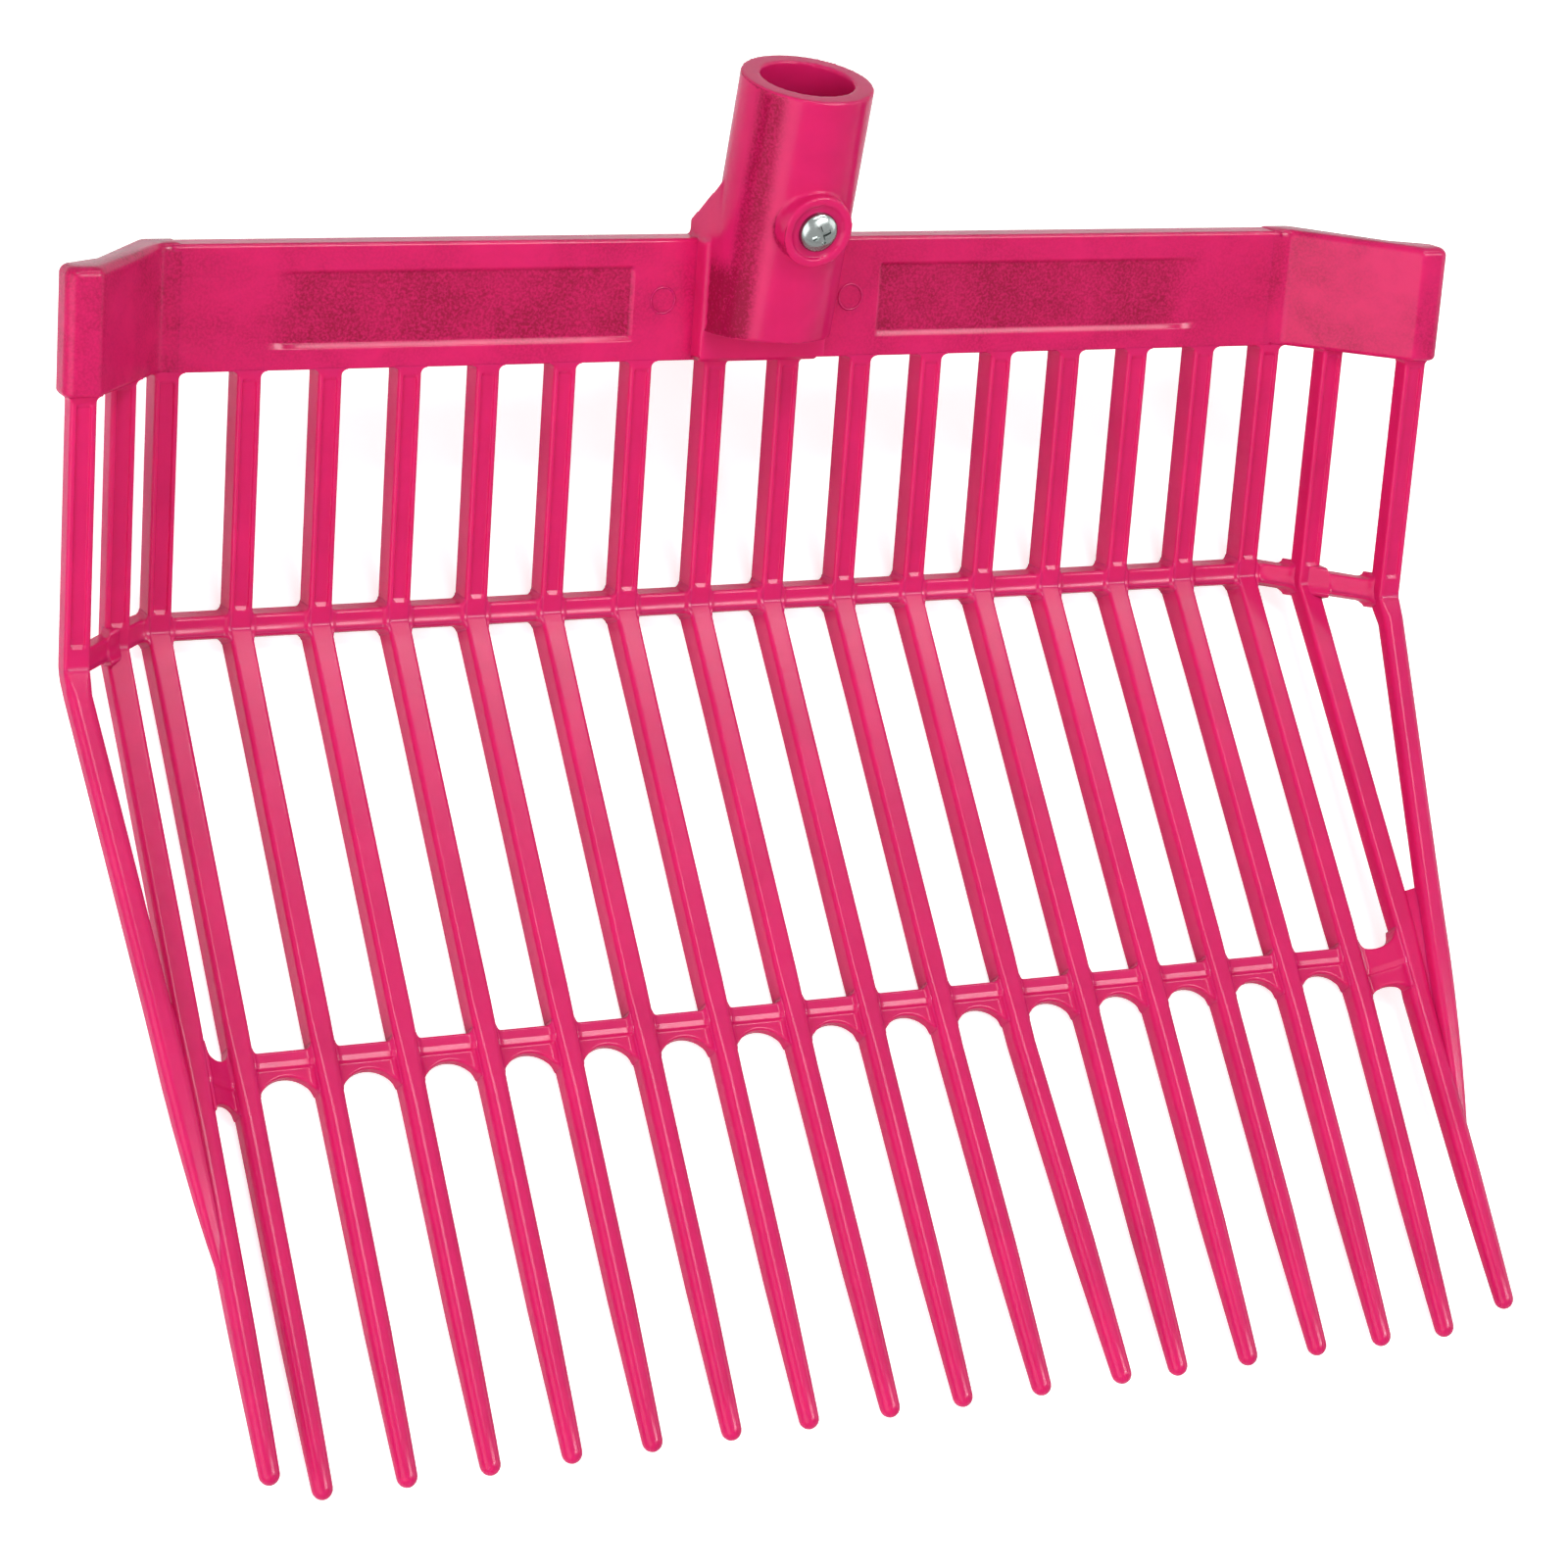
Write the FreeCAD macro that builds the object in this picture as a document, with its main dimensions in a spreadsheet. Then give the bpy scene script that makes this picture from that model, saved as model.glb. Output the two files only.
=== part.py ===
"""Head of a shavings fork: a tined basket with a socket for a wooden handle.

Lengths are millimetres and angles are degrees. X runs across the fork, Y runs from the tips of
the tines back to the socket, and Z is up. The tines lie on Z = 0, and the origin is under the
middle of the head. The bed of tines is level. The wall rises behind it from the bend, leaning
back at wall_angle above the bed, and carries the header with its two wings and the socket.
"""
import FreeCAD, Part
import math
import os
import re
import Sketcher
from FreeCAD import Placement, Rotation, Vector

# Driving sizes
SIZES = {
    # Bars of the wall and tines of the bed
    "middle_bars": 16,
    "bar_pitch": 22,
    "bar_width": 6.4,
    "bar_depth": 8,
    "channel_width": 4,
    "channel_depth": 0.8,
    "channel_end": 1.2,
    "wall_angle": 39.3,
    # Upper crossbar, in the bend
    "crossbar_top": 4.9,
    "crossbar_front": 3.6,
    "crossbar_foot": 0.8,
    "crossbar_inset": 0.5,
    "kink_offset": 2.1,
    "crossbar_turn": 2.4,
    "second_bar_step": 15.2,
    "second_bar_width": 6.6,
    "second_bar_depth": 6.2,
    "edge_bar_step": 39.4,
    "edge_bar_width": 6.8,
    "edge_bar_depth": 5.8,
    # Header and its wings
    "header_bottom": 69.4,
    "header_height": 33,
    "edge_margin": 2.5,
    "wing_angle": 50.6,
    "wing_length": 39.7,
    "wing_thickness": 8,
    "wing_lift": 1,
    "wing_height": 32.3,
    "cap_width": 8.8,
    "cap_depth": 8.7,
    "cap_run": 12.7,
    "cap_corner": 2.4,
    "panel_start": 36.5,
    "panel_end": 140.5,
    "panel_bottom": 5.6,
    "panel_height": 20.4,
    "panel_depth": 0.9,
    "pin_mark_place": 28,
    "pin_mark_radius": 3.7,
    "pin_mark_depth": 0.4,
    # Handle socket
    "socket_lean": 12.3,
    "socket_rise": 45.6,
    "socket_out": 24.3,
    "socket_radius": 17.7,
    "socket_length": 75,
    "socket_foot": 8.9,
    "handle_radius": 12.5,
    "handle_seat": 28,
    "bore_step": 0.3,
    "bore_depth": 60,
    "cheek_step": 1.2,
    "cheek_proud": 5.5,
    "cheek_lift": 1.2,
    "gusset_back_rise": 3.8,
    "gusset_front_rise": 17.2,
    "gusset_reach": 18,
    # Screw that locks the handle, and its boss
    "screw_drop": 34.7,
    "boss_radius": 9.85,
    "boss_height": 3,
    "recess_radius": 7.5,
    "recess_depth": 1,
    "screw_radius": 2.5,
    "screw_length": 20,
    "screw_point": 4,
    "screw_clearance": 0.3,
    "screw_head_radius": 5.4,
    "screw_head_height": 3,
    "screw_dome_share": 0.45,
    "cross_length": 5.6,
    "cross_width": 1.1,
    "cross_depth": 1.7,
    # Tines: size at the bed, then at three places along the free part
    "tine_corner": 1.3,
    "tine_reach": 230,
    "free_start": 134,
    "free_corner": 2.4,
    "taper_length": 40,
    "taper_width": 6.1,
    "taper_depth": 7.3,
    "end_length": 6,
    "end_width": 5.3,
    "end_depth": 5.6,
    "nose_length": 1.6,
    "shoulder_share": 0.9,
    "nose_share": 0.45,
    # How far the tips of some tines have set sideways, by tine, counted from the left
    "drift_09": 1.4,
    "drift_10": 0.8,
    "drift_11": 2.3,
    "drift_12": 4.8,
    "drift_16": -1.2,
    "drift_17": -2.5,
    # Outer tines, which lie higher than the others
    "outer_reach": 226,
    "outer_rear_rise": 9.4,
    "outer_web_rise": 8.4,
    "outer_free_rise": 6.6,
    "outer_tip_rise": 6.4,
    # Braces from the edge bars down to the outer tines
    "brace_width": 6.5,
    "brace_corner_share": 0.35,
    "brace_rear_out": 0.3,
    "brace_rear_rise": 22.8,
    "brace_middle": 110,
    "brace_middle_out": 7.9,
    "brace_middle_rise": 13.7,
    "brace_end": 168,
    "brace_end_out": 3.2,
    "brace_end_rise": 7.8,
    "brace_end_width": 3,
    # Lower crossbar
    "web_start": 116.3,
    "web_width": 6.6,
    "web_thickness": 4.6,
    "web_round_share": 1.08,
    "end_web_start": 118.5,
    "end_web_width": 11,
    "cut_overrun": 5,
}

# Measures worked out from the driving sizes
MEASURES = {
    "half_depth": "bar_depth/2",
    "middle_half": "bar_pitch*(middle_bars-1)/2",
    "corner_half": "middle_half+edge_margin",
    "kink_half": "corner_half+kink_offset",
    "end_angle": "wing_angle-crossbar_turn",
    "second_bar_x": "kink_half+second_bar_step*cos(end_angle)",
    "second_bar_out": "second_bar_step*sin(end_angle)",
    "edge_bar_x": "kink_half+edge_bar_step*cos(end_angle)",
    "edge_bar_out": "edge_bar_step*sin(end_angle)",
    "rear_corner": "corner_half-bar_depth/tan(wing_angle)+wing_thickness/sin(wing_angle)",
    "header_top": "header_bottom+header_height",
    "mouth_up": "header_top+socket_rise",
    "cheek_half": "socket_radius+cheek_step",
    "boss_top": "socket_radius+boss_height",
    "screw_seat": "boss_top-recess_depth",
    "mouth_back": "mouth_up*cos(wall_angle)-socket_out*sin(wall_angle)",
    "rear_reach": "mouth_back+socket_radius*sin(wall_angle+socket_lean)",
    "bend_y": "(tine_reach-rear_reach)/2",
    "gap_half": "(bar_pitch-bar_width)/2",
    "web_round": "gap_half*web_round_share",
    "web_side": "web_start+web_width+web_round-sqrt(web_round*web_round-gap_half*gap_half)",
    "end_web_half": "(second_bar_x-second_bar_width/2-middle_half-bar_width/2)/2",
    "end_web_round": "end_web_half*web_round_share",
    "end_web_side": "end_web_round-sqrt(end_web_round*end_web_round-end_web_half*end_web_half)",
    "slim_front": "(half_depth-crossbar_inset)*tan(wall_angle/2)+crossbar_inset",
    "slope": "sin(end_angle)*sin(wall_angle)/cos(end_angle)",
    "same_place": "screw_clearance/10",
}

doc = FreeCAD.newDocument("shavings_fork")
sheet = doc.addObject("Spreadsheet::Sheet", "Sizes")
for row, (alias, size) in enumerate(SIZES.items(), start=1):
    sheet.set(f"A{row}", alias)
    sheet.set(f"B{row}", str(size))
    sheet.setAlias(f"B{row}", alias)
doc.recompute()

nodes = []


def formula(text):
    """Turn plain names of sizes and measures into an expression on the sheet."""
    def word(match):
        name = match.group()
        if name in MEASURES:
            return "(" + formula(MEASURES[name]) + ")"
        return "Sizes." + name if name in SIZES else name
    return re.sub(r"[a-z]+(_[a-z0-9]+)*", word, text)


def number(text):
    """The present value of a formula."""
    return float(sheet.evalExpression(formula(text)))


def bind(item, **properties):
    """Bind properties of an object to formulas."""
    for name, text in properties.items():
        item.setExpression(name, formula(text))


def near(first, second):
    return abs(first - second) < number("same_place")


def on_wall():
    """Placement on the mid plane of the wall: Z runs up the wall and Y out of its back."""
    base = Vector(0, number("bend_y"), number("half_depth"))
    return Placement(base, Rotation(Vector(1, 0, 0), number("wall_angle-90")))


def add_body(label, across="0", upright=False):
    """A body on the mid plane of the bed or, upright, of the wall, with its origin at the bend."""
    body = doc.addObject("PartDesign::Body", label)
    body.Label = label
    base = {"x": across, "y": "bend_y", "z": "half_depth"}
    bind(body, **{"Placement.Base." + axis: text for axis, text in base.items()})
    if upright:
        body.Placement = on_wall()
        bind(body, **{"Placement.Rotation.Angle": "wall_angle-90"})
    return body


def add_node(item):
    nodes.append(item)
    return item


def add_mirror(label, source):
    """The same piece on the other side of the fork."""
    mirror = doc.addObject("Part::Mirroring", label)
    mirror.Label = label
    mirror.Source = source
    mirror.Normal = Vector(1, 0, 0)
    return add_node(mirror)


def add_sketch(body, name, plane, offset="0", turn=None, shift=None):
    """A sketch on one of the body's own planes, moved along its normal by a formula."""
    sketch = body.newObject("Sketcher::SketchObject", body.Label + "_" + name)
    support = next(item for item in body.Origin.OriginFeatures if item.Role == plane)
    sketch.AttachmentSupport = [(support, "")]
    sketch.MapMode = "FlatFace"
    if turn is None:
        bind(sketch, **{"AttachmentOffset.Base.z": offset})
        return sketch
    sketch.AttachmentOffset = Placement(Vector(), Rotation(Vector(1, 0, 0), number(turn)))
    values = {"Base.y": shift[0], "Base.z": shift[1], "Rotation.Angle": turn}
    bind(sketch, **{"AttachmentOffset." + name: text for name, text in values.items()})
    return sketch


def fix_point(sketch, item, point, across, along):
    """Hold a point of the sketch at a place given by two formulas."""
    for kind, text in (("DistanceX", across), ("DistanceY", along)):
        rule = sketch.addConstraint(Sketcher.Constraint(kind, -1, 1, item, point, number(text)))
        sketch.setExpression(f"Constraints[{rule}]", formula(text))


def add_outline(sketch, corners):
    """A closed outline of straight lines through corners given as pairs of formulas."""
    points = [Vector(number(across), number(along), 0) for across, along in corners]
    following = points[1:] + points[:1]
    lines = [sketch.addGeometry(Part.LineSegment(*ends)) for ends in zip(points, following)]
    for line, after in zip(lines, lines[1:] + lines[:1]):
        sketch.addConstraint(Sketcher.Constraint("Coincident", line, 2, after, 1))
    for line, (across, along) in zip(lines, corners):
        fix_point(sketch, line, 1, across, along)
    return lines


def add_rectangle(sketch, left, right, low, high):
    return add_outline(sketch, [(left, low), (right, low), (right, high), (left, high)])


def add_circle(sketch, radius, across="0", along="0"):
    centre = Vector(number(across), number(along), 0)
    circle = sketch.addGeometry(Part.Circle(centre, Vector(0, 0, 1), number(radius)))
    fix_point(sketch, circle, 3, across, along)
    rule = sketch.addConstraint(Sketcher.Constraint("Radius", circle, number(radius)))
    sketch.setExpression(f"Constraints[{rule}]", formula(radius))


def add_rounded(sketch, width, depth, corner, across="0", along="0"):
    """A rectangle with round corners about a centre."""
    right, top, curve = number(f"({width})/2"), number(f"({depth})/2"), number(corner)
    centre = Vector(number(across), number(along), 0)
    signs = ((1, -1), (1, 1), (-1, 1), (-1, -1))
    arcs = []
    for turn, (side, level) in enumerate(signs):
        middle = centre + Vector(side * (right - curve), level * (top - curve), 0)
        circle = Part.Circle(middle, Vector(0, 0, 1), curve)
        angles = [quarter * math.pi / 2 for quarter in (turn - 1, turn)]
        arcs.append(sketch.addGeometry(Part.ArcOfCircle(circle, *angles)))
    lines = []
    for before, after in zip(arcs, arcs[1:] + arcs[:1]):
        ends = sketch.getPoint(before, 2), sketch.getPoint(after, 1)
        line = sketch.addGeometry(Part.LineSegment(*ends))
        sketch.addConstraint(Sketcher.Constraint("Tangent", before, 2, line, 1))
        sketch.addConstraint(Sketcher.Constraint("Tangent", line, 2, after, 1))
        lines.append(line)
    for line, kind in zip(lines, ("Vertical", "Horizontal", "Vertical", "Horizontal")):
        sketch.addConstraint(Sketcher.Constraint(kind, line))
    for arc in arcs[1:]:
        sketch.addConstraint(Sketcher.Constraint("Equal", arcs[0], arc))
    rule = sketch.addConstraint(Sketcher.Constraint("Radius", arcs[0], curve))
    sketch.setExpression(f"Constraints[{rule}]", formula(corner))
    for line, kind, text in (
        (lines[0], "DistanceX", f"{across}+({width})/2"),
        (lines[2], "DistanceX", f"{across}-({width})/2"),
        (lines[1], "DistanceY", f"{along}+({depth})/2"),
        (lines[3], "DistanceY", f"{along}-({depth})/2"),
    ):
        rule = sketch.addConstraint(Sketcher.Constraint(kind, -1, 1, line, 1, number(text)))
        sketch.setExpression(f"Constraints[{rule}]", formula(text))


def pad(body, sketch, length, middle=False, down=False):
    feature = body.newObject("PartDesign::Pad", sketch.Label + "_pad")
    feature.Profile = sketch
    feature.Midplane = middle
    feature.Reversed = down
    bind(feature, Length=length)
    return feature


def pocket(body, sketch, length, middle=False):
    """Cut against the normal of the sketch, or to both sides of it."""
    doc.recompute()
    before = body.Shape.Volume
    feature = body.newObject("PartDesign::Pocket", sketch.Label + "_pocket")
    feature.Profile = sketch
    feature.Midplane = middle
    bind(feature, Length=length)
    doc.recompute()
    if not body.Shape.Volume < before:
        raise RuntimeError(f"{feature.Label} cuts nothing")
    return feature


def add_fillet(body, name, radius, chosen):
    """Round the straight or curved edges whose middle point passes a test."""
    doc.recompute()
    tip = body.Tip
    middles = [edge.valueAt((edge.FirstParameter + edge.LastParameter) / 2) for edge in tip.Shape.Edges]
    names = [f"Edge{order}" for order, middle in enumerate(middles, start=1) if chosen(middle)]
    if not names:
        raise RuntimeError(f"{body.Label} has no edge for {name}")
    fillet = body.newObject("PartDesign::Fillet", body.Label + "_" + name)
    fillet.Base = (tip, names)
    bind(fillet, Radius=radius)
    return fillet


def add_loft(body, sections):
    loft = body.newObject("PartDesign::AdditiveLoft", body.Label + "_loft")
    loft.Profile = sections[0]
    loft.Sections = sections[1:]
    loft.Ruled = True


def repeat_across(body, feature, count, length):
    """Repeat a feature along the width of the fork."""
    pattern = body.newObject("PartDesign::LinearPattern", feature.Label + "_row")
    axis = next(item for item in body.Origin.OriginFeatures if item.Role == "X_Axis")
    pattern.Originals = [feature]
    pattern.Direction = (axis, [""])
    bind(pattern, Length=length, Occurrences=count)
    body.Tip = pattern


# Wall bars: upright bars with a shallow channel down the front
def wall_bar(label, across, out, width, depth, top):
    body = add_body(label, across, upright=True)
    section = add_sketch(body, "section", "XY_Plane", "crossbar_top")
    front = f"-({out})-({depth})/2"
    back = f"-({out})+({depth})/2"
    add_rectangle(section, f"-({width})/2", f"({width})/2", front, back)
    pad(body, section, f"{top}-crossbar_top")
    channel = add_sketch(body, "channel", "XZ_Plane", f"{out}+({depth})/2")
    low, high = "crossbar_top+channel_end", f"{top}-channel_end"
    add_rectangle(channel, "-channel_width/2", "channel_width/2", low, high)
    pocket(body, channel, "channel_depth")
    return add_node(body)


# Tines: rounded bars that run forward from the upper crossbar and taper to a blunt nose
def tine(label, across, rises, width, depth, reach, drift, start="crossbar_front"):
    body = add_body(label, across)
    rear, web, free, tip = rises
    shoulder = "end_width*shoulder_share", "end_depth*shoulder_share", "free_corner*shoulder_share"
    nose = "end_width*nose_share", "end_depth*nose_share", "free_corner*nose_share"
    stations = (
        ("rear", start, rear, (width, depth, "tine_corner")),
        ("web", "web_start", web, (width, depth, "tine_corner")),
        ("free", "free_start", free, (width, "bar_depth", "free_corner")),
        ("taper", f"{reach}-taper_length", tip, ("taper_width", "taper_depth", "free_corner")),
        ("end", f"{reach}-end_length", tip, ("end_width", "end_depth", "free_corner")),
        ("shoulder", f"{reach}-nose_length", tip, shoulder),
        ("nose", reach, tip, nose),
    )
    sections = []
    for name, distance, rise, size in stations:
        set_aside = f"({drift})*({distance}-free_start)/({reach}-free_start)"
        sketch = add_sketch(body, name, "XZ_Plane", distance)
        add_rounded(sketch, *size, "0" if name in ("rear", "web") else set_aside, rise)
        sections.append(sketch)
    add_loft(body, sections)
    return add_node(body)


def outer_tine(label):
    """The tine below the second bar, with its rear cut clear of the crossbar's turned end."""
    rises = "outer_rear_rise", "outer_web_rise", "outer_free_rise", "outer_tip_rise"
    width, start = "second_bar_width", "crossbar_front+second_bar_out*sin(wall_angle)"
    body = tine(label, "second_bar_x", rises, width, "second_bar_depth", "outer_reach", "0", start)
    plan = add_sketch(body, "rear_cut", "XY_Plane")
    inner = f"-(slim_front+(second_bar_x-{width}-kink_half)*slope)"
    outer = f"-(slim_front+(second_bar_x+{width}-kink_half)*slope)"
    left, right, rear = f"-{width}", width, "cut_overrun"
    add_outline(plan, [(left, inner), (right, outer), (right, rear), (left, rear)])
    pocket(body, plan, "2*(brace_rear_rise+bar_depth)", middle=True)
    return body


# Brace from the foot of the edge bar down to the outer tine, where it is moulded on
def brace(label, beside):
    body = add_body(label + "_form")
    stations = (
        ("rear", "crossbar_front+edge_bar_out*sin(wall_angle)", "edge_bar_x+brace_rear_out",
         "brace_rear_rise", "brace_width"),
        ("middle", "brace_middle", "second_bar_x+brace_middle_out", "brace_middle_rise",
         "brace_width"),
        ("end", "brace_end", "second_bar_x+brace_end_out", "brace_end_rise", "brace_end_width"),
    )
    sections = []
    for name, distance, across, rise, width in stations:
        sketch = add_sketch(body, name, "XZ_Plane", distance)
        add_rounded(sketch, width, width, f"({width})*brace_corner_share", across, rise)
        sections.append(sketch)
    add_loft(body, sections)
    cut = doc.addObject("Part::Cut", label)
    cut.Label = label
    cut.Base = body
    cut.Tool = beside
    return add_node(cut)


# Upper crossbar: the bar in the bend, with a knuckle at each wall bar that joins it to its tine
def add_bend_outline(sketch, half, out="0", front="crossbar_front", foot="crossbar_front"):
    """Side view of the bend, moved forward off the wall for the bars of the wings."""
    across, along = f"-({out})*sin(wall_angle)", f"({out})*cos(wall_angle)"
    corners = [
        (f"crossbar_top*cos(wall_angle)+({half})*sin(wall_angle)",
         f"crossbar_top*sin(wall_angle)-({half})*cos(wall_angle)"),
        (f"crossbar_top*cos(wall_angle)-({half})*sin(wall_angle)",
         f"crossbar_top*sin(wall_angle)+({half})*cos(wall_angle)"),
        (f"-({half})*tan(wall_angle/2)", half),
        (f"-({front})", half),
        (f"-({foot})", f"-({half})"),
        (f"({half})*tan(wall_angle/2)", f"-({half})"),
    ]
    add_outline(sketch, [(f"{across}+{first}", f"{along}+{second}") for first, second in corners])


def add_slim_outline(sketch):
    half = "half_depth-crossbar_inset"
    add_bend_outline(sketch, half, front="slim_front",
                     foot="crossbar_foot")


def upper_crossbar():
    body = add_body("upper_crossbar")
    bar = add_sketch(body, "section", "YZ_Plane")
    add_slim_outline(bar)
    pad(body, bar, "2*kink_half", middle=True)
    knuckle = add_sketch(body, "knuckle", "YZ_Plane", "-middle_half")
    add_bend_outline(knuckle, "half_depth")
    first = pad(body, knuckle, "bar_width", middle=True)
    repeat_across(body, first, "middle_bars", "2*middle_half")
    return add_node(body)


def crossbar_end(label):
    """The crossbar's turned end, which follows the wing above it, and the knuckles on it."""
    body = add_body(label)
    section = add_sketch(body, "section", "YZ_Plane", "kink_half")
    add_slim_outline(section)
    arm = pad(body, section, "edge_bar_step")
    arm.AlongSketchNormal = False
    arm.UseCustomVector = True
    arm.Direction = Vector(
        number("cos(end_angle)"),
        -number("sin(end_angle)*sin(wall_angle)"),
        number("sin(end_angle)*cos(wall_angle)"),
    )
    for name in ("second_bar", "edge_bar"):
        knuckle = add_sketch(body, name + "_knuckle", "YZ_Plane", f"{name}_x-{name}_width/2")
        add_bend_outline(knuckle, f"{name}_depth/2", f"{name}_out")
        pad(body, knuckle, name + "_width")
    return add_node(body)


# Lower crossbar: webs between the tines, hollowed on the side of the free tines
def lower_crossbar():
    body = add_body("lower_crossbar")
    body.AllowCompound = True
    plan = add_sketch(body, "web", "XY_Plane")
    centre = "-middle_half+bar_pitch/2"
    left, right = f"{centre}-gap_half", f"{centre}+gap_half"
    corners = [(left, "-web_side"), (left, "-web_start"), (right, "-web_start"), (right, "-web_side")]
    points = [Vector(number(across), number(along), 0) for across, along in corners]
    lines = [plan.addGeometry(Part.LineSegment(*ends)) for ends in zip(points, points[1:])]
    apex = Vector(number(centre), -number("web_start+web_width"), 0)
    arc = plan.addGeometry(Part.Arc(points[0], apex, points[-1]))
    for line, after in zip(lines, lines[1:]):
        plan.addConstraint(Sketcher.Constraint("Coincident", line, 2, after, 1))
    for line, corner in zip(lines, corners):
        fix_point(plan, line, 1, *corner)
    fix_point(plan, lines[-1], 2, *corners[-1])
    start = 1 if near(plan.getPoint(arc, 1).x, points[0].x) else 2
    plan.addConstraint(Sketcher.Constraint("Coincident", arc, start, lines[0], 1))
    plan.addConstraint(Sketcher.Constraint("Coincident", arc, 3 - start, lines[-1], 2))
    rule = plan.addConstraint(Sketcher.Constraint("Radius", arc, number("web_round")))
    plan.setExpression(f"Constraints[{rule}]", formula("web_round"))
    first = pad(body, plan, "web_thickness", middle=True)
    repeat_across(body, first, "middle_bars-1", "2*middle_half-bar_pitch")
    return add_node(body)


def end_web(label):
    """Sloping web to the outer tine, hollowed on both sides."""
    body = add_body(label)
    section = add_sketch(body, "section", "XZ_Plane", "end_web_start-end_web_side")
    inner, outer = "middle_half+bar_width/2", "second_bar_x-second_bar_width/2"
    add_outline(section, [
        (inner, "-web_thickness/2"),
        (outer, "outer_web_rise-web_thickness/2"),
        (outer, "outer_web_rise+web_thickness/2"),
        (inner, "web_thickness/2"),
    ])
    pad(body, section, "end_web_width+2*end_web_side")
    centre = f"({inner}+{outer})/2"
    for name, along in (
        ("rear_hollow", "end_web_start-end_web_round"),
        ("front_hollow", "end_web_start+end_web_width+end_web_round"),
    ):
        hollow = add_sketch(body, name, "XY_Plane")
        add_circle(hollow, "end_web_round", centre, f"-({along})")
        pocket(body, hollow, "4*(outer_web_rise+web_thickness)", middle=True)
    return add_node(body)


# Header: the band across the top of the wall, with a shallow panel and an ejector pin's mark
def header(label):
    body = add_body(label, upright=True)
    plan = add_sketch(body, "plan", "XY_Plane", "header_bottom")
    add_outline(plan, [
        ("cheek_half", "-half_depth"),
        ("corner_half", "-half_depth"),
        ("rear_corner", "half_depth"),
        ("cheek_half", "half_depth"),
    ])
    pad(body, plan, "header_height")
    panel = add_sketch(body, "panel", "XZ_Plane", "half_depth")
    low = "header_bottom+panel_bottom"
    add_rectangle(panel, "panel_start", "panel_end", low, f"{low}+panel_height")
    pocket(body, panel, "panel_depth")
    mark = add_sketch(body, "pin_mark", "XZ_Plane", "half_depth")
    add_circle(mark, "pin_mark_radius", "pin_mark_place", "header_bottom+header_height/2")
    pocket(body, mark, "pin_mark_depth")
    return add_node(body)


# Wing: the header's forward turned end, with a thicker cap over the edge bar
def wing(label):
    body = add_body(label, upright=True)
    plan = add_sketch(body, "plan", "XY_Plane", "header_bottom+wing_lift")
    cap_across = "corner_half+wing_length*cos(wing_angle)"
    cap_front = "half_depth+wing_length*sin(wing_angle)"
    run = "(wing_length-cap_run)"
    add_outline(plan, [
        ("corner_half", "-half_depth"),
        (cap_across, f"-({cap_front})"),
        (f"{cap_across}+cap_width", f"-({cap_front})"),
        (f"{cap_across}+cap_width", f"-({cap_front})+cap_depth"),
        (f"corner_half+{run}*cos(wing_angle)+wing_thickness*sin(wing_angle)",
         f"-(half_depth+{run}*sin(wing_angle)-wing_thickness*cos(wing_angle))"),
        ("rear_corner", "half_depth"),
    ])
    pad(body, plan, "wing_height")
    edge = number(f"{cap_across}+cap_width")
    add_fillet(body, "cap_corner", "cap_corner", lambda at: near(at.x, edge))
    return add_node(body)


# Handle socket: a leaning tube on a block between the two halves of the header
def at_mouth(drop="0", out="0"):
    """A place on the wall's side view, measured down the socket's axis and out to the front."""
    across = f"-socket_out+({drop})*sin(socket_lean)-({out})*cos(socket_lean)"
    up = f"mouth_up-({drop})*cos(socket_lean)-({out})*sin(socket_lean)"
    return across, up


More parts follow.
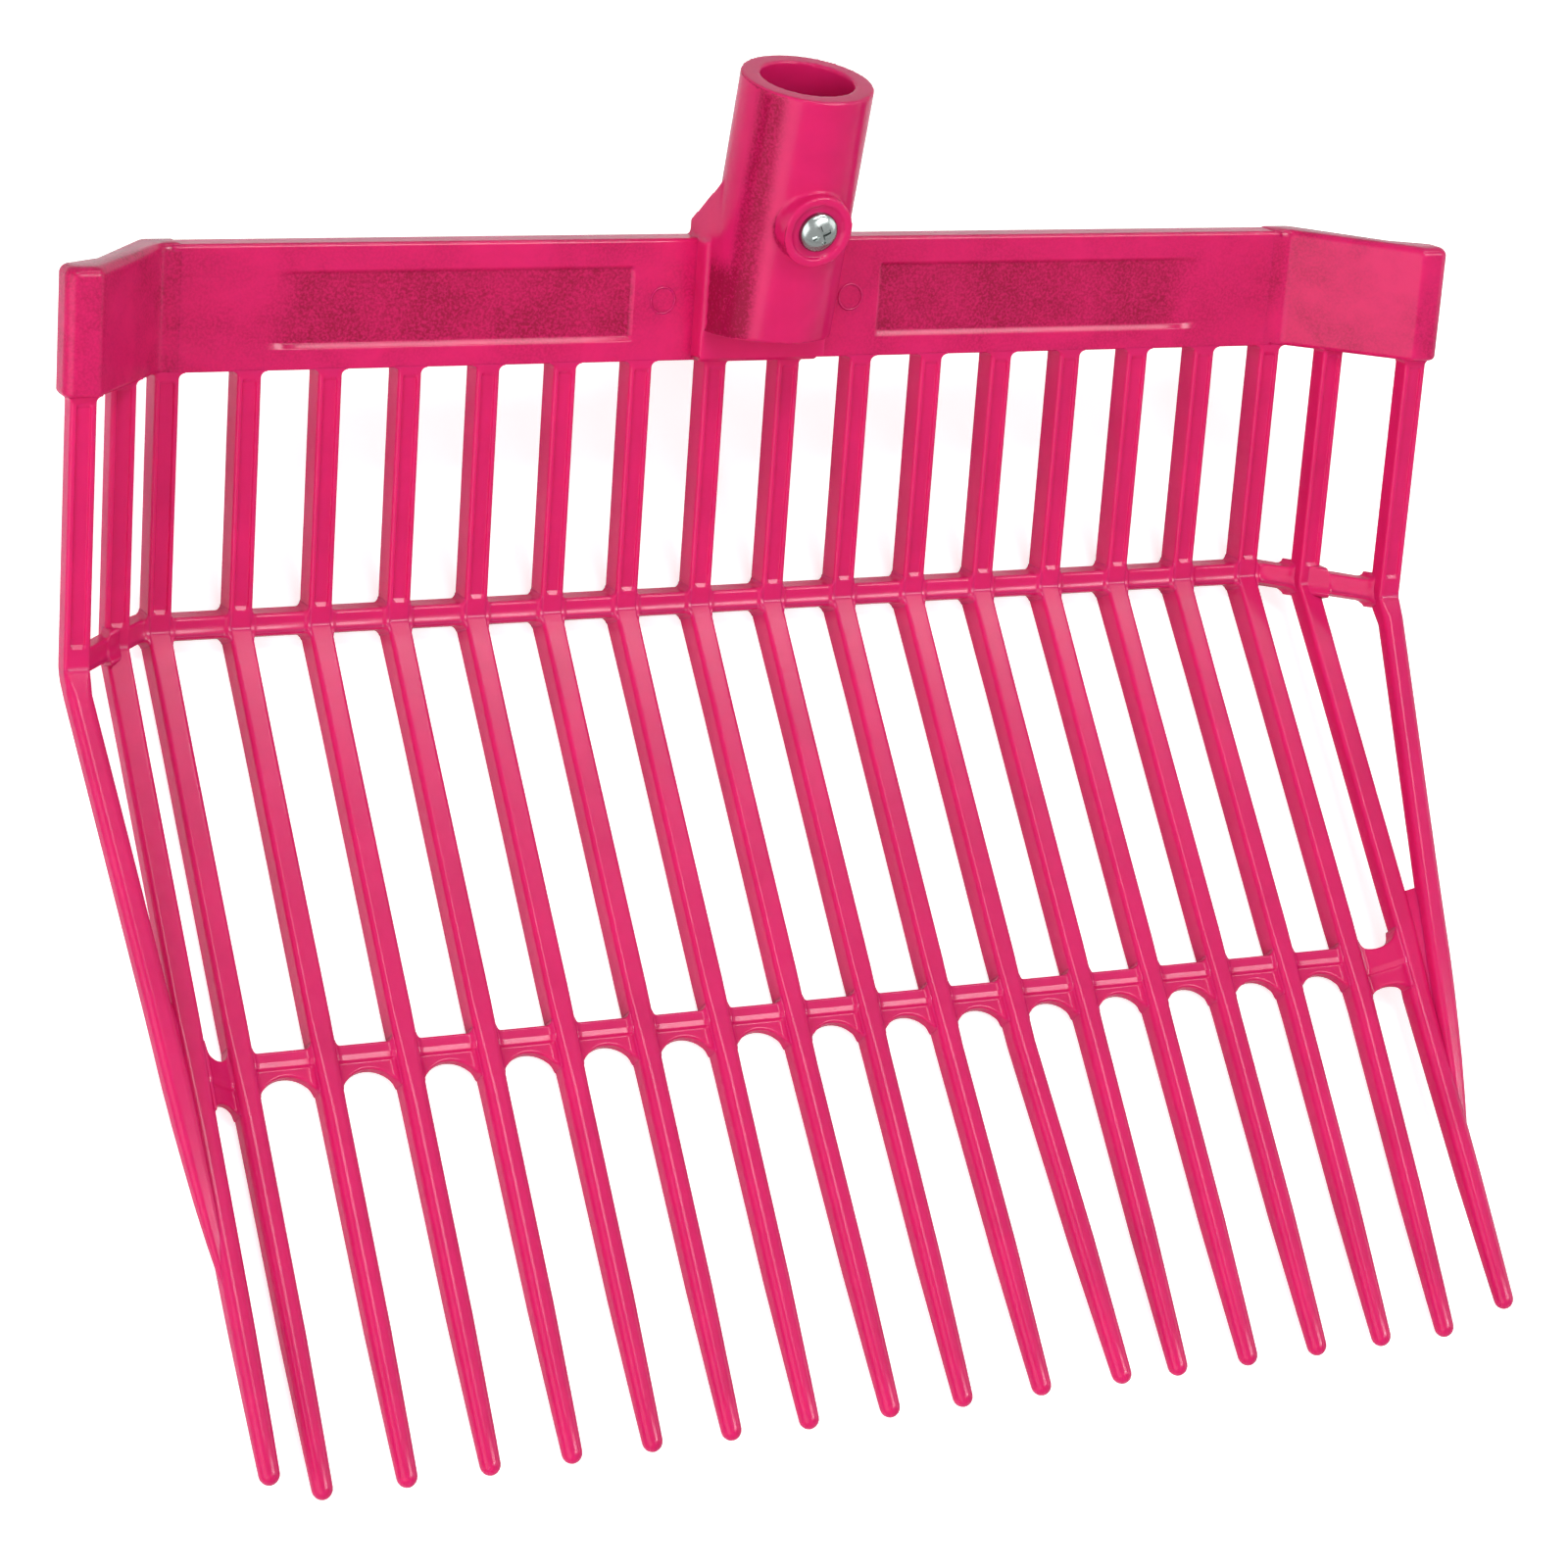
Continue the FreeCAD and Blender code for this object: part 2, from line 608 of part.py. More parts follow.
def handle_socket():
    body = add_body("handle_socket", upright=True)
    base = add_sketch(body, "base", "YZ_Plane")
    cheek_front, cheek_low = "-half_depth-cheek_proud", "header_bottom+cheek_lift"
    add_outline(base, [
        ("half_depth", "header_bottom"),
        ("half_depth", "header_top"),
        (cheek_front, "header_top"),
        (cheek_front, cheek_low),
        ("-half_depth", cheek_low),
        ("-half_depth", "header_bottom"),
    ])
    pad(body, base, "2*cheek_half", middle=True)
    gusset = add_sketch(body, "gusset", "YZ_Plane")
    front = "half_depth-gusset_reach"
    add_outline(gusset, [
        ("half_depth", "header_bottom"),
        ("half_depth", "header_top+gusset_back_rise"),
        (front, "header_top+gusset_front_rise"),
        (front, "header_top"),
        (f"{front}+header_height*tan(socket_lean)", "header_bottom"),
    ])
    pad(body, gusset, "2*socket_radius", middle=True)
    tube = add_sketch(body, "tube", "XY_Plane", turn="socket_lean", shift=at_mouth())
    add_circle(tube, "socket_radius")
    pad(body, tube, "socket_length", down=True)
    back = add_sketch(body, "back", "YZ_Plane")
    add_rectangle(back, "half_depth", "half_depth+socket_radius", "header_bottom", "mouth_up")
    pocket(body, back, "2*(cheek_half+cut_overrun)", middle=True)
    foot = add_sketch(body, "foot", "YZ_Plane")
    add_rectangle(foot, "-socket_out-socket_radius", cheek_front, "header_bottom",
                  "header_bottom+socket_foot")
    pocket(body, foot, "2*(cheek_half+cut_overrun)", middle=True)
    face = {"turn": "socket_lean+90", "shift": at_mouth("screw_drop", "boss_top")}
    boss = add_sketch(body, "boss", "XY_Plane", **face)
    add_circle(boss, "boss_radius")
    pad(body, boss, "boss_top-handle_radius", down=True)
    for name, radius, depth in (
        ("seat", "handle_radius", "handle_seat"),
        ("bore", "handle_radius-bore_step", "bore_depth"),
    ):
        sketch = add_sketch(body, name, "XY_Plane", turn="socket_lean", shift=at_mouth())
        add_circle(sketch, radius)
        pocket(body, sketch, depth)
    for name, radius, depth in (
        ("recess", "recess_radius", "recess_depth"),
        ("screw_hole", "screw_radius+screw_clearance", "boss_top-handle_radius+cut_overrun"),
    ):
        sketch = add_sketch(body, name, "XY_Plane", **face)
        add_circle(sketch, radius)
        pocket(body, sketch, depth)
    return add_node(body)


# Screw: pan head with a cross recess, seated in the boss with its point in the bore
def handle_screw():
    across, up = at_mouth("screw_drop", "screw_seat")
    seat = Placement(
        Vector(0, number(across), number(up)),
        Rotation(Vector(1, 0, 0), number("socket_lean+90")),
    )
    body = add_body("handle_screw")
    for axis in "xyz":
        body.setExpression("Placement.Base." + axis, None)
    body.Placement = on_wall().multiply(seat)
    profile = add_sketch(body, "profile", "XZ_Plane")
    add_outline(profile, [
        ("0", "-screw_length"),
        ("screw_radius", "screw_point-screw_length"),
        ("screw_radius", "0"),
        ("screw_head_radius", "0"),
        ("screw_head_radius", "screw_head_height"),
        ("0", "screw_head_height"),
    ])
    turned = body.newObject("PartDesign::Revolution", "handle_screw_turned")
    turned.Profile = profile
    turned.ReferenceAxis = (profile, ["V_Axis"])
    turned.Angle = 360
    top, rim = number("screw_head_height"), number("screw_head_radius")
    dome = "screw_head_height*screw_dome_share"
    add_fillet(body, "dome", dome, lambda at: near(at.z, top) and near(abs(at.x), rim))
    cross = add_sketch(body, "cross", "XY_Plane", "screw_head_height")
    arm, side = "cross_length/2", "cross_width/2"
    quarter = [(side, side), (arm, side), (arm, f"-{side}"), (side, f"-{side}")]
    corners = []
    for turn in range(4):
        corners += quarter[:3]
        quarter = [(along, f"-({across})") for across, along in quarter]
    add_outline(cross, corners)
    pocket(body, cross, "cross_depth")
    return add_node(body)


handle_socket()
handle_screw()
upper_crossbar()
lower_crossbar()
for build, name in (
    (header, "header"),
    (wing, "wing"),
    (crossbar_end, "crossbar_end"),
    (end_web, "end_web"),
):
    add_mirror("left_" + name, build("right_" + name))

middle_bars = int(SIZES["middle_bars"])
for order in range(middle_bars):
    place = f"bar_pitch*({order}-(middle_bars-1)/2)"
    wall_bar(f"wall_bar_{order + 3:02d}", place, "0", "bar_width", "bar_depth", "header_bottom")
    drift = f"drift_{order + 2:02d}"
    tine(f"tine_{order + 2:02d}", place, ("0", "0", "0", "0"), "bar_width", "bar_depth",
         "tine_reach", drift if drift in SIZES else "0")
second = wall_bar(f"wall_bar_{middle_bars + 3:02d}", "second_bar_x", "second_bar_out",
                  "second_bar_width", "second_bar_depth", "header_bottom+wing_lift")
edge = wall_bar(f"wall_bar_{middle_bars + 4:02d}", "edge_bar_x", "edge_bar_out",
                "edge_bar_width", "edge_bar_depth", "header_bottom+wing_lift")
outer = outer_tine(f"tine_{middle_bars + 2:02d}")
add_mirror("wall_bar_02", second)
add_mirror("wall_bar_01", edge)
add_mirror("tine_01", outer)
add_mirror("left_brace", brace("right_brace", outer))

doc.recompute()
for item in doc.Objects:
    if "Invalid" in item.State or "Error" in item.State:
        raise RuntimeError(f"{item.Label} failed: {item.State}")
for item in nodes:
    if item.Shape.isNull() or not item.Shape.isValid():
        raise RuntimeError(f"{item.Label} has no valid shape")
os.makedirs("parts", exist_ok=True)
for item in nodes:
    item.Shape.exportStep(f"parts/{item.Label}.step")
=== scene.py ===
"""Looks of the shavings fork head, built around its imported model. Lengths are metres."""

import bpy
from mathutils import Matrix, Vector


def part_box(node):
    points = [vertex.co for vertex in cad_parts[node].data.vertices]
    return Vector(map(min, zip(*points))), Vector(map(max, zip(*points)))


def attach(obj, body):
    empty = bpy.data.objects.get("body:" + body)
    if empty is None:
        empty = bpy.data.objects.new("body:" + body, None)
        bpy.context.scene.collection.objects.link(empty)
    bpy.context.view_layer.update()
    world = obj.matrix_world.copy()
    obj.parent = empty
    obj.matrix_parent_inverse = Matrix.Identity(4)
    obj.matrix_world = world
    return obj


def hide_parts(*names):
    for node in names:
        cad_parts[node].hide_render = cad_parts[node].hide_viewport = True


bl_info = {
    "name": "Shavings fork head",
    "version": (1, 0),
    "blender": (4, 5, 0),
    "location": "3D View > Sidebar > Fork",
    "description": "Builds the moulded pink head, its handle screw and the studio",
    "category": "Object",
}

import math

import bmesh
import bpy
from bpy.props import FloatProperty, FloatVectorProperty, PointerProperty, StringProperty
from mathutils import Matrix, Vector

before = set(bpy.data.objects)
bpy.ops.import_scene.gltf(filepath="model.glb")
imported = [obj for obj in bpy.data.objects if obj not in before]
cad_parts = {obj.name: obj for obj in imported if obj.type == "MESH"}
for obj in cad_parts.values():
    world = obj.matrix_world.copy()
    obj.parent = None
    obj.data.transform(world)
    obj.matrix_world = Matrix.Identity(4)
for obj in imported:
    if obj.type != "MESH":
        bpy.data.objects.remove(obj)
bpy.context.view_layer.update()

MM = 0.001
BODY = "root"
ACROSS = Vector((1, 0, 0))
REAR = Vector((0, 1, 0))
UPWARDS = Vector((0, 0, 1))

# How much of the deep colour the etched floors of the header panels take up
PANEL_ETCH = 0.5
# The mark of an ejector pin: its place across the header, its radius and the radius of its rim
PIN_PLACE = 28 * MM
PIN_RADIUS = 3.5 * MM
PIN_RIM = 0.32 * MM
# Places along the bed in mm from the bend, with how far a brace lies outside its tine there, how
# high over the bend it is, how wide, and how thick the web between the two is
BRACE_ASIDE = ((110, 7.9), (150, 4.5), (176, 1.9))
BRACE_HEIGHT = ((110, 13.7), (168, 7.6), (176, 6.9))
BRACE_WIDTH = ((24, 6.5), (130, 6.5), (160, 4.4), (176, 2.2))
BRACE_WEB = ((104, 0.6), (106, 1.6), (110, 2.2), (120, 2.4), (135, 2.4), (150, 2.4), (166, 2.0))
BRACE_RINGS = (26, 32, 50, 70, 90, 105, 115, 125, 135, 145, 155, 165, 176)
# Name, place, width, depth and watts of the soft lamps, which light the head from all round
SOFTBOXES = (
    ("left_softbox", (-1.6, -0.75, 0.9), 2.4, 1.6, 33.0),
    ("rear_top_softbox", (-0.1, 0.42, 1.95), 0.7, 0.42, 13.0),
    ("front_top_softbox", (0.5, -0.75, 1.8), 1.0, 0.8, 11.0),
    ("right_softbox", (1.7, -0.2, 0.75), 1.0, 1.0, 6.0),
)
# The same for the cards, which only draw narrow lights in the gloss
CARDS = (
    ("front_top_card", (1.0, -0.42, 1.9), 1.1, 0.6, 45.0),
    ("strip_card", (1.0, 1.02, 1.9), 1.1, 0.3, 22.0),
)
# Glow of the floor to the camera, and the share of it that mirrored rays see
FLOOR_GLOW = 0.68
FLOOR_MIRRORED = 0.2
# Light of the world on the head, next to the 1 of a white background
WORLD_LIGHT = 0.15


def metres(name, description, default):
    """A length in metres that can be set."""
    return FloatProperty(name=name, description=description, subtype="DISTANCE", default=default)


def degrees(name, description, default):
    """An angle that can be set, given in degrees."""
    return FloatProperty(name=name, description=description, subtype="ANGLE",
                         default=math.radians(default))


class MouldingSizes(bpy.types.PropertyGroup):
    wall_angle: degrees("Wall angle", "Rise of the wall behind the bed", 39.3)
    crossbar_front: metres("Crossbar front", "From the bend to the rear ends of the tines", 3.6 * MM)
    bend_radius: metres("Bend radius", "Radius of the bend, along the middle of a bar", 6.0 * MM)
    bar_corner: metres("Bar corner", "Rounding along the edges of a wall bar", 0.8 * MM)
    tine_corner: metres("Tine corner", "Rounding along the edges of a tine in the bed", 1.3 * MM)
    free_corner: metres("Free corner", "Rounding of a tine in front of the lower crossbar", 2.4 * MM)
    web_start: metres("Web start", "From the bend to the lower crossbar", 116.3 * MM)
    free_start: metres("Free start", "From the bend to where a tine is free on all sides", 134.0 * MM)
    nose: metres("Nose", "Length of the rounded tip of a tine", 2.6 * MM)
    fillet: metres("Fillet", "Radius in the corners where bars cross", 1.5 * MM)
    channel_width: metres("Channel width", "Width of the channel down a wall bar's front", 4.0 * MM)
    channel_depth: metres("Channel depth", "Depth of that channel", 0.7 * MM)
    kink: metres("Kink", "From the middle to where the upper crossbar turns forward", 169.6 * MM)
    panel_start: metres("Panel start", "From the middle to the near end of a header panel", 36.5 * MM)
    panel_end: metres("Panel end", "From the middle to the far end of a header panel", 140.5 * MM)
    panel_bottom: metres("Panel bottom", "Band of the header left below a panel", 5.6 * MM)
    panel_height: metres("Panel height", "Height of a header panel", 20.4 * MM)
    panel_depth: metres("Panel depth", "How far a header panel is sunk", 0.9 * MM)
    socket_lean: degrees("Socket lean", "How far the handle socket leans out of the wall", 12.3)
    scallop_share: FloatProperty(
        name="Scallop share", description="Radius of a scallop to half the gap between its tines",
        default=1.08)


class ScrewSizes(bpy.types.PropertyGroup):
    head_radius: metres("Head radius", "Radius of the pan head", 5.4 * MM)
    dome: metres("Dome", "Height of the domed part of the head", 2.3 * MM)
    head: metres("Head", "Height of the whole head", 3.0 * MM)
    shank_radius: metres("Shank radius", "Radius of the shank", 2.4 * MM)
    slot_length: metres("Slot length", "Length of each slot of the cross recess", 5.4 * MM)
    slot_width: metres("Slot width", "Width of each slot", 1.2 * MM)
    slot_depth: metres("Slot depth", "Depth of each slot below the crown", 1.1 * MM)
    slot_turn: degrees("Slot turn", "How far the cross recess is turned about the screw", 25)


class CameraSettings(bpy.types.PropertyGroup):
    place: FloatVectorProperty(
        name="Place", description="Where the camera stands",
        subtype="TRANSLATION", default=(-0.5247, -0.3759, 1.0091))
    aim: FloatVectorProperty(
        name="Aim", description="Point on the floor in the middle of the view",
        subtype="TRANSLATION", default=(0.00536, 0.00607, 0.0))
    roll: degrees("Roll", "Turn of the picture about the line of sight", 45.175)
    lens: FloatProperty(
        name="Lens", description="Focal length on a sensor 36 mm wide", default=101.28)


class FinishSettings(bpy.types.PropertyGroup):
    plastic: StringProperty(
        name="Plastic", description="Colour of the polycarbonate", default="D91F68")
    # The deep colour serves the clouds and the etched panels, and also the painted shade down the
    # socket
    deep_plastic_and_shade: StringProperty(
        name="Deep plastic", description="Colour of the darker clouds in it", default="98103F")
    zinc: StringProperty(
        name="Zinc", description="Colour of the plated screw", default="8F9593")
    floor: StringProperty(
        name="Floor", description="Colour of the floor and backdrop", default="EDEDED")


def moulding_sizes():
    return bpy.context.scene.fork_sizes


def linear(code):
    """An sRGB hex colour as a linear one."""
    parts = [int(code[place:place + 2], 16) / 255 for place in (0, 2, 4)]
    bends = [part / 12.92 if part <= 0.04045 else ((part + 0.055) / 1.055) ** 2.4 for part in parts]
    return (*bends, 1.0)


def add(tree, kind, sockets=(), **settings):
    """Add a node; settings fill its sockets or attributes, sockets take a link or a value each."""
    node = tree.nodes.new(kind)
    for name, value in settings.items():
        title = name.replace("_", " ")
        if title in node.inputs:
            node.inputs[title].default_value = value
        else:
            setattr(node, name, value)
    for title, value in dict(sockets).items():
        if isinstance(value, bpy.types.NodeSocket):
            tree.links.new(value, node.inputs[title])
        else:
            node.inputs[title].default_value = value
    return node


def new_material(name):
    material = bpy.data.materials.new(name)
    material.use_nodes = True
    material.node_tree.nodes.clear()
    return material


def polycarbonate_moulded_gloss(name):
    """Polycarbonate, injection moulded and glossy: clear lights on a faintly uneven skin."""
    return polycarbonate(name, clouds=0.22, specks=0.0)


def polycarbonate_moulded_mottled(name):
    """Polycarbonate, injection moulded in a worn cavity: soft clouds with a few specks."""
    return polycarbonate(name, clouds=0.62, specks=0.5)


def polycarbonate_moulded_etched_panel(name):
    """Polycarbonate, moulded against steel etched in the panels: darker there, with a fine grain."""
    return polycarbonate(name, clouds=0.4, specks=0.5, etched=etched_panel)


def polycarbonate_moulded_etched_socket(name):
    """Polycarbonate, injection moulded, with painted shade: a dark grained stripe painted down the
    socket's left as a dark reflection, and shade painted beside its left cheek.
    """
    return polycarbonate(name, clouds=0.22, specks=0.0, etched=etched_socket)


def polycarbonate(name, clouds, specks, etched=None):
    """Shares of the deep colour in clouds, and in the specks that break them up."""
    material = new_material(name)
    tree = material.node_tree
    finish = bpy.context.scene.fork_finish
    place = add(tree, "ShaderNodeTexCoord").outputs["Object"]
    # Clouds about 22 mm across, where the melt flowed unevenly
    flow = add(tree, "ShaderNodeTexNoise", {"Vector": place}, Scale=1 / (22 * MM), Detail=5.0,
               Roughness=0.6, Distortion=0.4)
    cloudy = add(tree, "ShaderNodeMapRange", {"Value": flow.outputs["Fac"]},
                 From_Min=0.36, From_Max=0.7, To_Min=0.0, To_Max=clouds)
    # Grain drawn about 0.7 mm across, coarser than etched steel leaves it, so that it shows
    grain = add(tree, "ShaderNodeTexNoise", {"Vector": place}, Scale=1 / (0.7 * MM), Detail=2.0)
    speckled = add(tree, "ShaderNodeMapRange", {"Value": grain.outputs["Fac"]},
                   From_Min=0.35, From_Max=0.65, To_Min=1.0 - specks, To_Max=1.0 + specks)
    dark = add(tree, "ShaderNodeMath", {0: cloudy.outputs["Result"], 1: speckled.outputs["Result"]},
               operation="MULTIPLY", use_clamp=True).outputs[0]
    # Extra grained deep colour: the etched panel floors on the header, and on the socket a painted dark
    # reflection and painted shade
    if etched:
        grain_spread = add(tree, "ShaderNodeMapRange", {"Value": grain.outputs["Fac"]},
                   From_Min=0.35, From_Max=0.65, To_Min=0.55, To_Max=1.45)
        sunk = add(tree, "ShaderNodeMath", {0: etched(tree, place), 1: grain_spread.outputs["Result"]},
                   operation="MULTIPLY")
        dark = add(tree, "ShaderNodeMath", {0: dark, 1: sunk.outputs[0]}, operation="ADD",
                   use_clamp=True).outputs[0]
    colour = add(tree, "ShaderNodeMix", {0: dark, 6: linear(finish.plastic),
                                         7: linear(finish.deep_plastic_and_shade)}, data_type="RGBA")
    # Sink marks about 3 mm across that make the lights waver
    ripple = add(tree, "ShaderNodeTexNoise", {"Vector": place}, Scale=1 / (3 * MM), Detail=2.0)
    bump = add(tree, "ShaderNodeBump", {"Height": ripple.outputs["Fac"]}, Strength=0.1,
               Distance=0.2 * MM)
    gloss = add(tree, "ShaderNodeMapRange", {"Value": ripple.outputs["Fac"]}, To_Min=0.16, To_Max=0.24)
    shader = add(tree, "ShaderNodeBsdfPrincipled",
                 {"Base Color": colour.outputs[2], "Roughness": gloss.outputs["Result"],
                  "Normal": bump.outputs["Normal"]},
                 IOR=1.585, Specular_IOR_Level=0.12, Subsurface_Weight=0.35,
                 Subsurface_Radius=(1.0, 0.3, 0.45), Subsurface_Scale=3 * MM)
    add(tree, "ShaderNodeOutputMaterial", {"Surface": shader.outputs["BSDF"]})
    return material


def stripe(tree, value, edges):
    """1 between the inner two of four rising edges, falling softly to 0 at the outer two."""
    sides = [add(tree, "ShaderNodeMapRange", {"Value": value}, interpolation_type="SMOOTHSTEP",
                 From_Min=outer, From_Max=inner).outputs["Result"]
             for outer, inner in ((edges[0], edges[1]), (edges[3], edges[2]))]
    return add(tree, "ShaderNodeMath", dict(enumerate(sides)), operation="MULTIPLY").outputs[0]


def distance_along(tree, place, axis):
    """How far a place lies along an axis."""
    product = add(tree, "ShaderNodeVectorMath", {0: place, 1: axis}, operation="DOT_PRODUCT")
    return product.outputs["Value"]


def etched_panel(tree, place):
    """The floors of both header panels, which fade out towards the wings."""
    sizes = moulding_sizes()
    up = wall_axes()[1]
    low = bend_point().dot(up) + spans("left_header")[2][0] + sizes.panel_bottom
    high = low + sizes.panel_height
    across = add(tree, "ShaderNodeMath", {0: distance_along(tree, place, ACROSS)}, operation="ABSOLUTE")
    edge, fade = 1.2 * MM, 16 * MM
    wide = stripe(tree, across.outputs[0], (sizes.panel_start, sizes.panel_start + edge,
                                            sizes.panel_end - fade, sizes.panel_end))
    tall = stripe(tree, distance_along(tree, place, up),
                  (low + 0.6 * edge, low + 1.6 * edge, high - edge, high))
    both = add(tree, "ShaderNodeMath", {0: wide, 1: tall}, operation="MULTIPLY")
    share = add(tree, "ShaderNodeMath", {0: both.outputs[0], 1: PANEL_ETCH}, operation="MULTIPLY")
    return share.outputs[0]


def etched_socket(tree, place):
    """Painted shade: a dark reflection painted as a stripe down the left of the tube, and shade painted
    in the valley beside the left cheek.
    """
    sizes = moulding_sizes()
    up = wall_axes()[1]
    axis = tilted(sizes.wall_angle + sizes.socket_lean - math.pi / 2)
    top = bend_point().dot(up) + spans("left_header")[2][1]
    normal = add(tree, "ShaderNodeTexCoord").outputs["Normal"]
    turned = distance_along(tree, normal, ACROSS)
    points = [vert.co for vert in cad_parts["handle_socket"].data.vertices]
    rim = max(point.dot(axis) for point in points)
    mouth = [point for point in points if point.dot(axis) > rim - 0.3 * MM]
    middle = sum(mouth, Vector()) / len(mouth)
    middle.x = 0.0
    aside = add(tree, "ShaderNodeVectorMath", {0: place, 1: middle}, operation="SUBTRACT")
    facing = add(tree, "ShaderNodeVectorMath", {0: aside.outputs[0], 1: normal},
                 operation="DOT_PRODUCT")
    # Each mask of the painted shade rises softly from 0 to 1 between its two values
    masks = (
        (facing.outputs["Value"], 12 * MM, 16 * MM),  # outer walls, not the bore
        (turned, -0.58, -0.78),  # near edge of the stripe, by how far the wall faces left
        (turned, -0.97, -0.9),  # its far edge
        (distance_along(tree, place, up), top, top - 9 * MM),  # below the header's top
        (distance_along(tree, place, ACROSS), -18.5 * MM, -17.7 * MM),  # beside the left cheek
    )
    outer, inner, rising, below, beside = [
        add(tree, "ShaderNodeMapRange", {"Value": value}, interpolation_type="SMOOTHSTEP",
            From_Min=start, From_Max=end).outputs["Result"]
        for value, start, end in masks]
    # The valley under the header's top, beside the left cheek, where shade is painted
    valley = add(tree, "ShaderNodeMath", {0: below, 1: beside}, operation="MULTIPLY").outputs[0]
    left = add(tree, "ShaderNodeMath", {0: rising, 1: valley}, operation="MAXIMUM").outputs[0]
    depth = add(tree, "ShaderNodeMapRange", {"Value": valley}, To_Min=0.65, To_Max=1.0)
    share = outer
    for part in (inner, left, depth.outputs["Result"]):
        share = add(tree, "ShaderNodeMath", {0: share, 1: part}, operation="MULTIPLY").outputs[0]
    return share


def zinc_plated_bright(name):
    """Zinc, bright plated over steel: grey mirror-like lights, faintly clouded."""
    material = new_material(name)
    tree = material.node_tree
    place = add(tree, "ShaderNodeTexCoord").outputs["Object"]
    # Bright and dull clouds of the plating, about 1 mm across
    clouds = add(tree, "ShaderNodeTexNoise", {"Vector": place}, Scale=0.9 / MM, Detail=3.0)
    gloss = add(tree, "ShaderNodeMapRange", {"Value": clouds.outputs["Fac"]}, To_Min=0.12, To_Max=0.3)
    shader = add(tree, "ShaderNodeBsdfPrincipled", {"Roughness": gloss.outputs["Result"]},
                 Base_Color=linear(bpy.context.scene.fork_finish.zinc), Metallic=1.0)
    add(tree, "ShaderNodeOutputMaterial", {"Surface": shader.outputs["BSDF"]})
    return material


def bend_point():
    """Where the mid planes of the wall and the bed meet, over the middle of the fork."""
    low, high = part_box("tine_05")
    sizes = moulding_sizes()
    return Vector((0, high.y + sizes.crossbar_front, (low.z + high.z) / 2))


def tilted(angle):
    """A direction in the side view, turned back from straight up."""
    return Vector((0, -math.sin(angle), math.cos(angle)))


def wall_axes():
    """Out of the wall's front and up the wall."""
    angle = moulding_sizes().wall_angle
    return tilted(angle), tilted(angle - math.pi / 2)


def spans(name):
    """Least and most reach of a node across the fork, out of the wall and up it."""
    bend = bend_point()
    points = [vert.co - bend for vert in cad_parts[name].data.vertices]
    reaches = [[point.dot(axis) for point in points] for axis in (ACROSS, *wall_axes())]
    return [(min(reach), max(reach)) for reach in reaches]


def blend(start, end, share):
    return start + (end - start) * share


def along(keys, place):
    """Value at a place among keys given as place and value, in rising order."""
    for (low, before), (high, after) in zip(keys, keys[1:]):
        if place <= high:
            return blend(before, after, max(0.0, (place - low) / (high - low)))
    return keys[-1][1]


def rounded(corners, radii, steps=4):
    """Points of an outline with round corners, and one more point beside each corner's arc."""
    corners = [Vector(corner) for corner in corners]
    turns = []
    for corner, before, after, radius in zip(
            corners, corners[-1:] + corners[:-1], corners[1:] + corners[:1], radii):
        back, ahead = before - corner, after - corner
        half = back.angle(ahead) / 2
        turns.append((corner, back, ahead, half, radius / math.tan(half)))
    points = []
    for turn, before, after in zip(turns, turns[-1:] + turns[:-1], turns[1:] + turns[:1]):
        corner, back, ahead, half, cut = turn
        leads = [min(0.15 * MM, 0.4 * max(side.length - cut - other[4], 0.001 * MM))
                 for side, other in ((back, before), (ahead, after))]
        back, ahead = back.normalized(), ahead.normalized()
        points.append(corner + back * (cut + leads[0]))
        for step in range(steps + 1):
            share = step / steps
            parts = (1 - share) ** 2, 2 * math.sin(half) * share * (1 - share), share ** 2
            ends = (corner + back * cut) * parts[0] + (corner + ahead * cut) * parts[2]
            points.append((ends + corner * parts[1]) / sum(parts))
        points.append(corner + ahead * (cut + leads[1]))
    return points


def oblong(width, depth, corner):
    """A rectangle about the origin with round corners."""
    right, top = width / 2, depth / 2
    corner = min(corner, 0.96 * right, 0.96 * top)
    return rounded([(-right, -top), (right, -top), (right, top), (-right, top)], [corner] * 4, 5)


def ring(centre, outline, side=ACROSS, normal=UPWARDS):
    """An outline set in space."""
    return [centre + side * point.x + normal * point.y for point in outline]


def skin(shape, rings):
    """Grow a closed skin from the first ring through to the last one."""
    ends = [[blend(place, other, 0.05) for place, other in zip(*pair)]
            for pair in ((rings[0], rings[1]), (rings[-1], rings[-2]))]
    rings = [rings[0], ends[0], *rings[1:-1], ends[1], rings[-1]]
    start = bmesh.ops.create_circle(shape, cap_ends=True, segments=len(rings[0]), radius=MM)
    face = start["verts"][0].link_faces[0]
    verts = face.verts[:]
    for order, places in enumerate(rings):
        if order:
            grown = bmesh.ops.extrude_face_region(shape, geom=[face])["geom"]
            if order > 1:
                bmesh.ops.delete(shape, geom=[face], context="FACES_ONLY")
            face = next(item for item in grown if isinstance(item, bmesh.types.BMFace))
            partners = {edge.other_vert(vert): vert for vert in face.verts for edge in vert.link_edges}
            verts = [partners[vert] for vert in verts]
        for vert, place in zip(verts, places):
            vert.co = place


def skinned(rings):
    shape = bmesh.new()
    skin(shape, rings)
    return shape


def mesh_from(name, shape):
    mesh = bpy.data.meshes.new(name)
    shape.to_mesh(mesh)
    shape.free()
    return mesh


def placed(name, data):
    """A new object in the scene, at the origin."""
    item = bpy.data.objects.new(name, data)
    bpy.context.scene.collection.objects.link(item)
    return item


def shape_with_modifiers(form, *helpers):
    """The form's shape with its modifiers applied; the form and its helpers are removed."""
    ready = form.evaluated_get(bpy.context.evaluated_depsgraph_get())
    shape = bmesh.new()
    shape.from_mesh(ready.to_mesh())
    ready.to_mesh_clear()
    for item in (form, *helpers):
        mesh = item.data
        bpy.data.objects.remove(item)
        bpy.data.meshes.remove(mesh)
    return shape


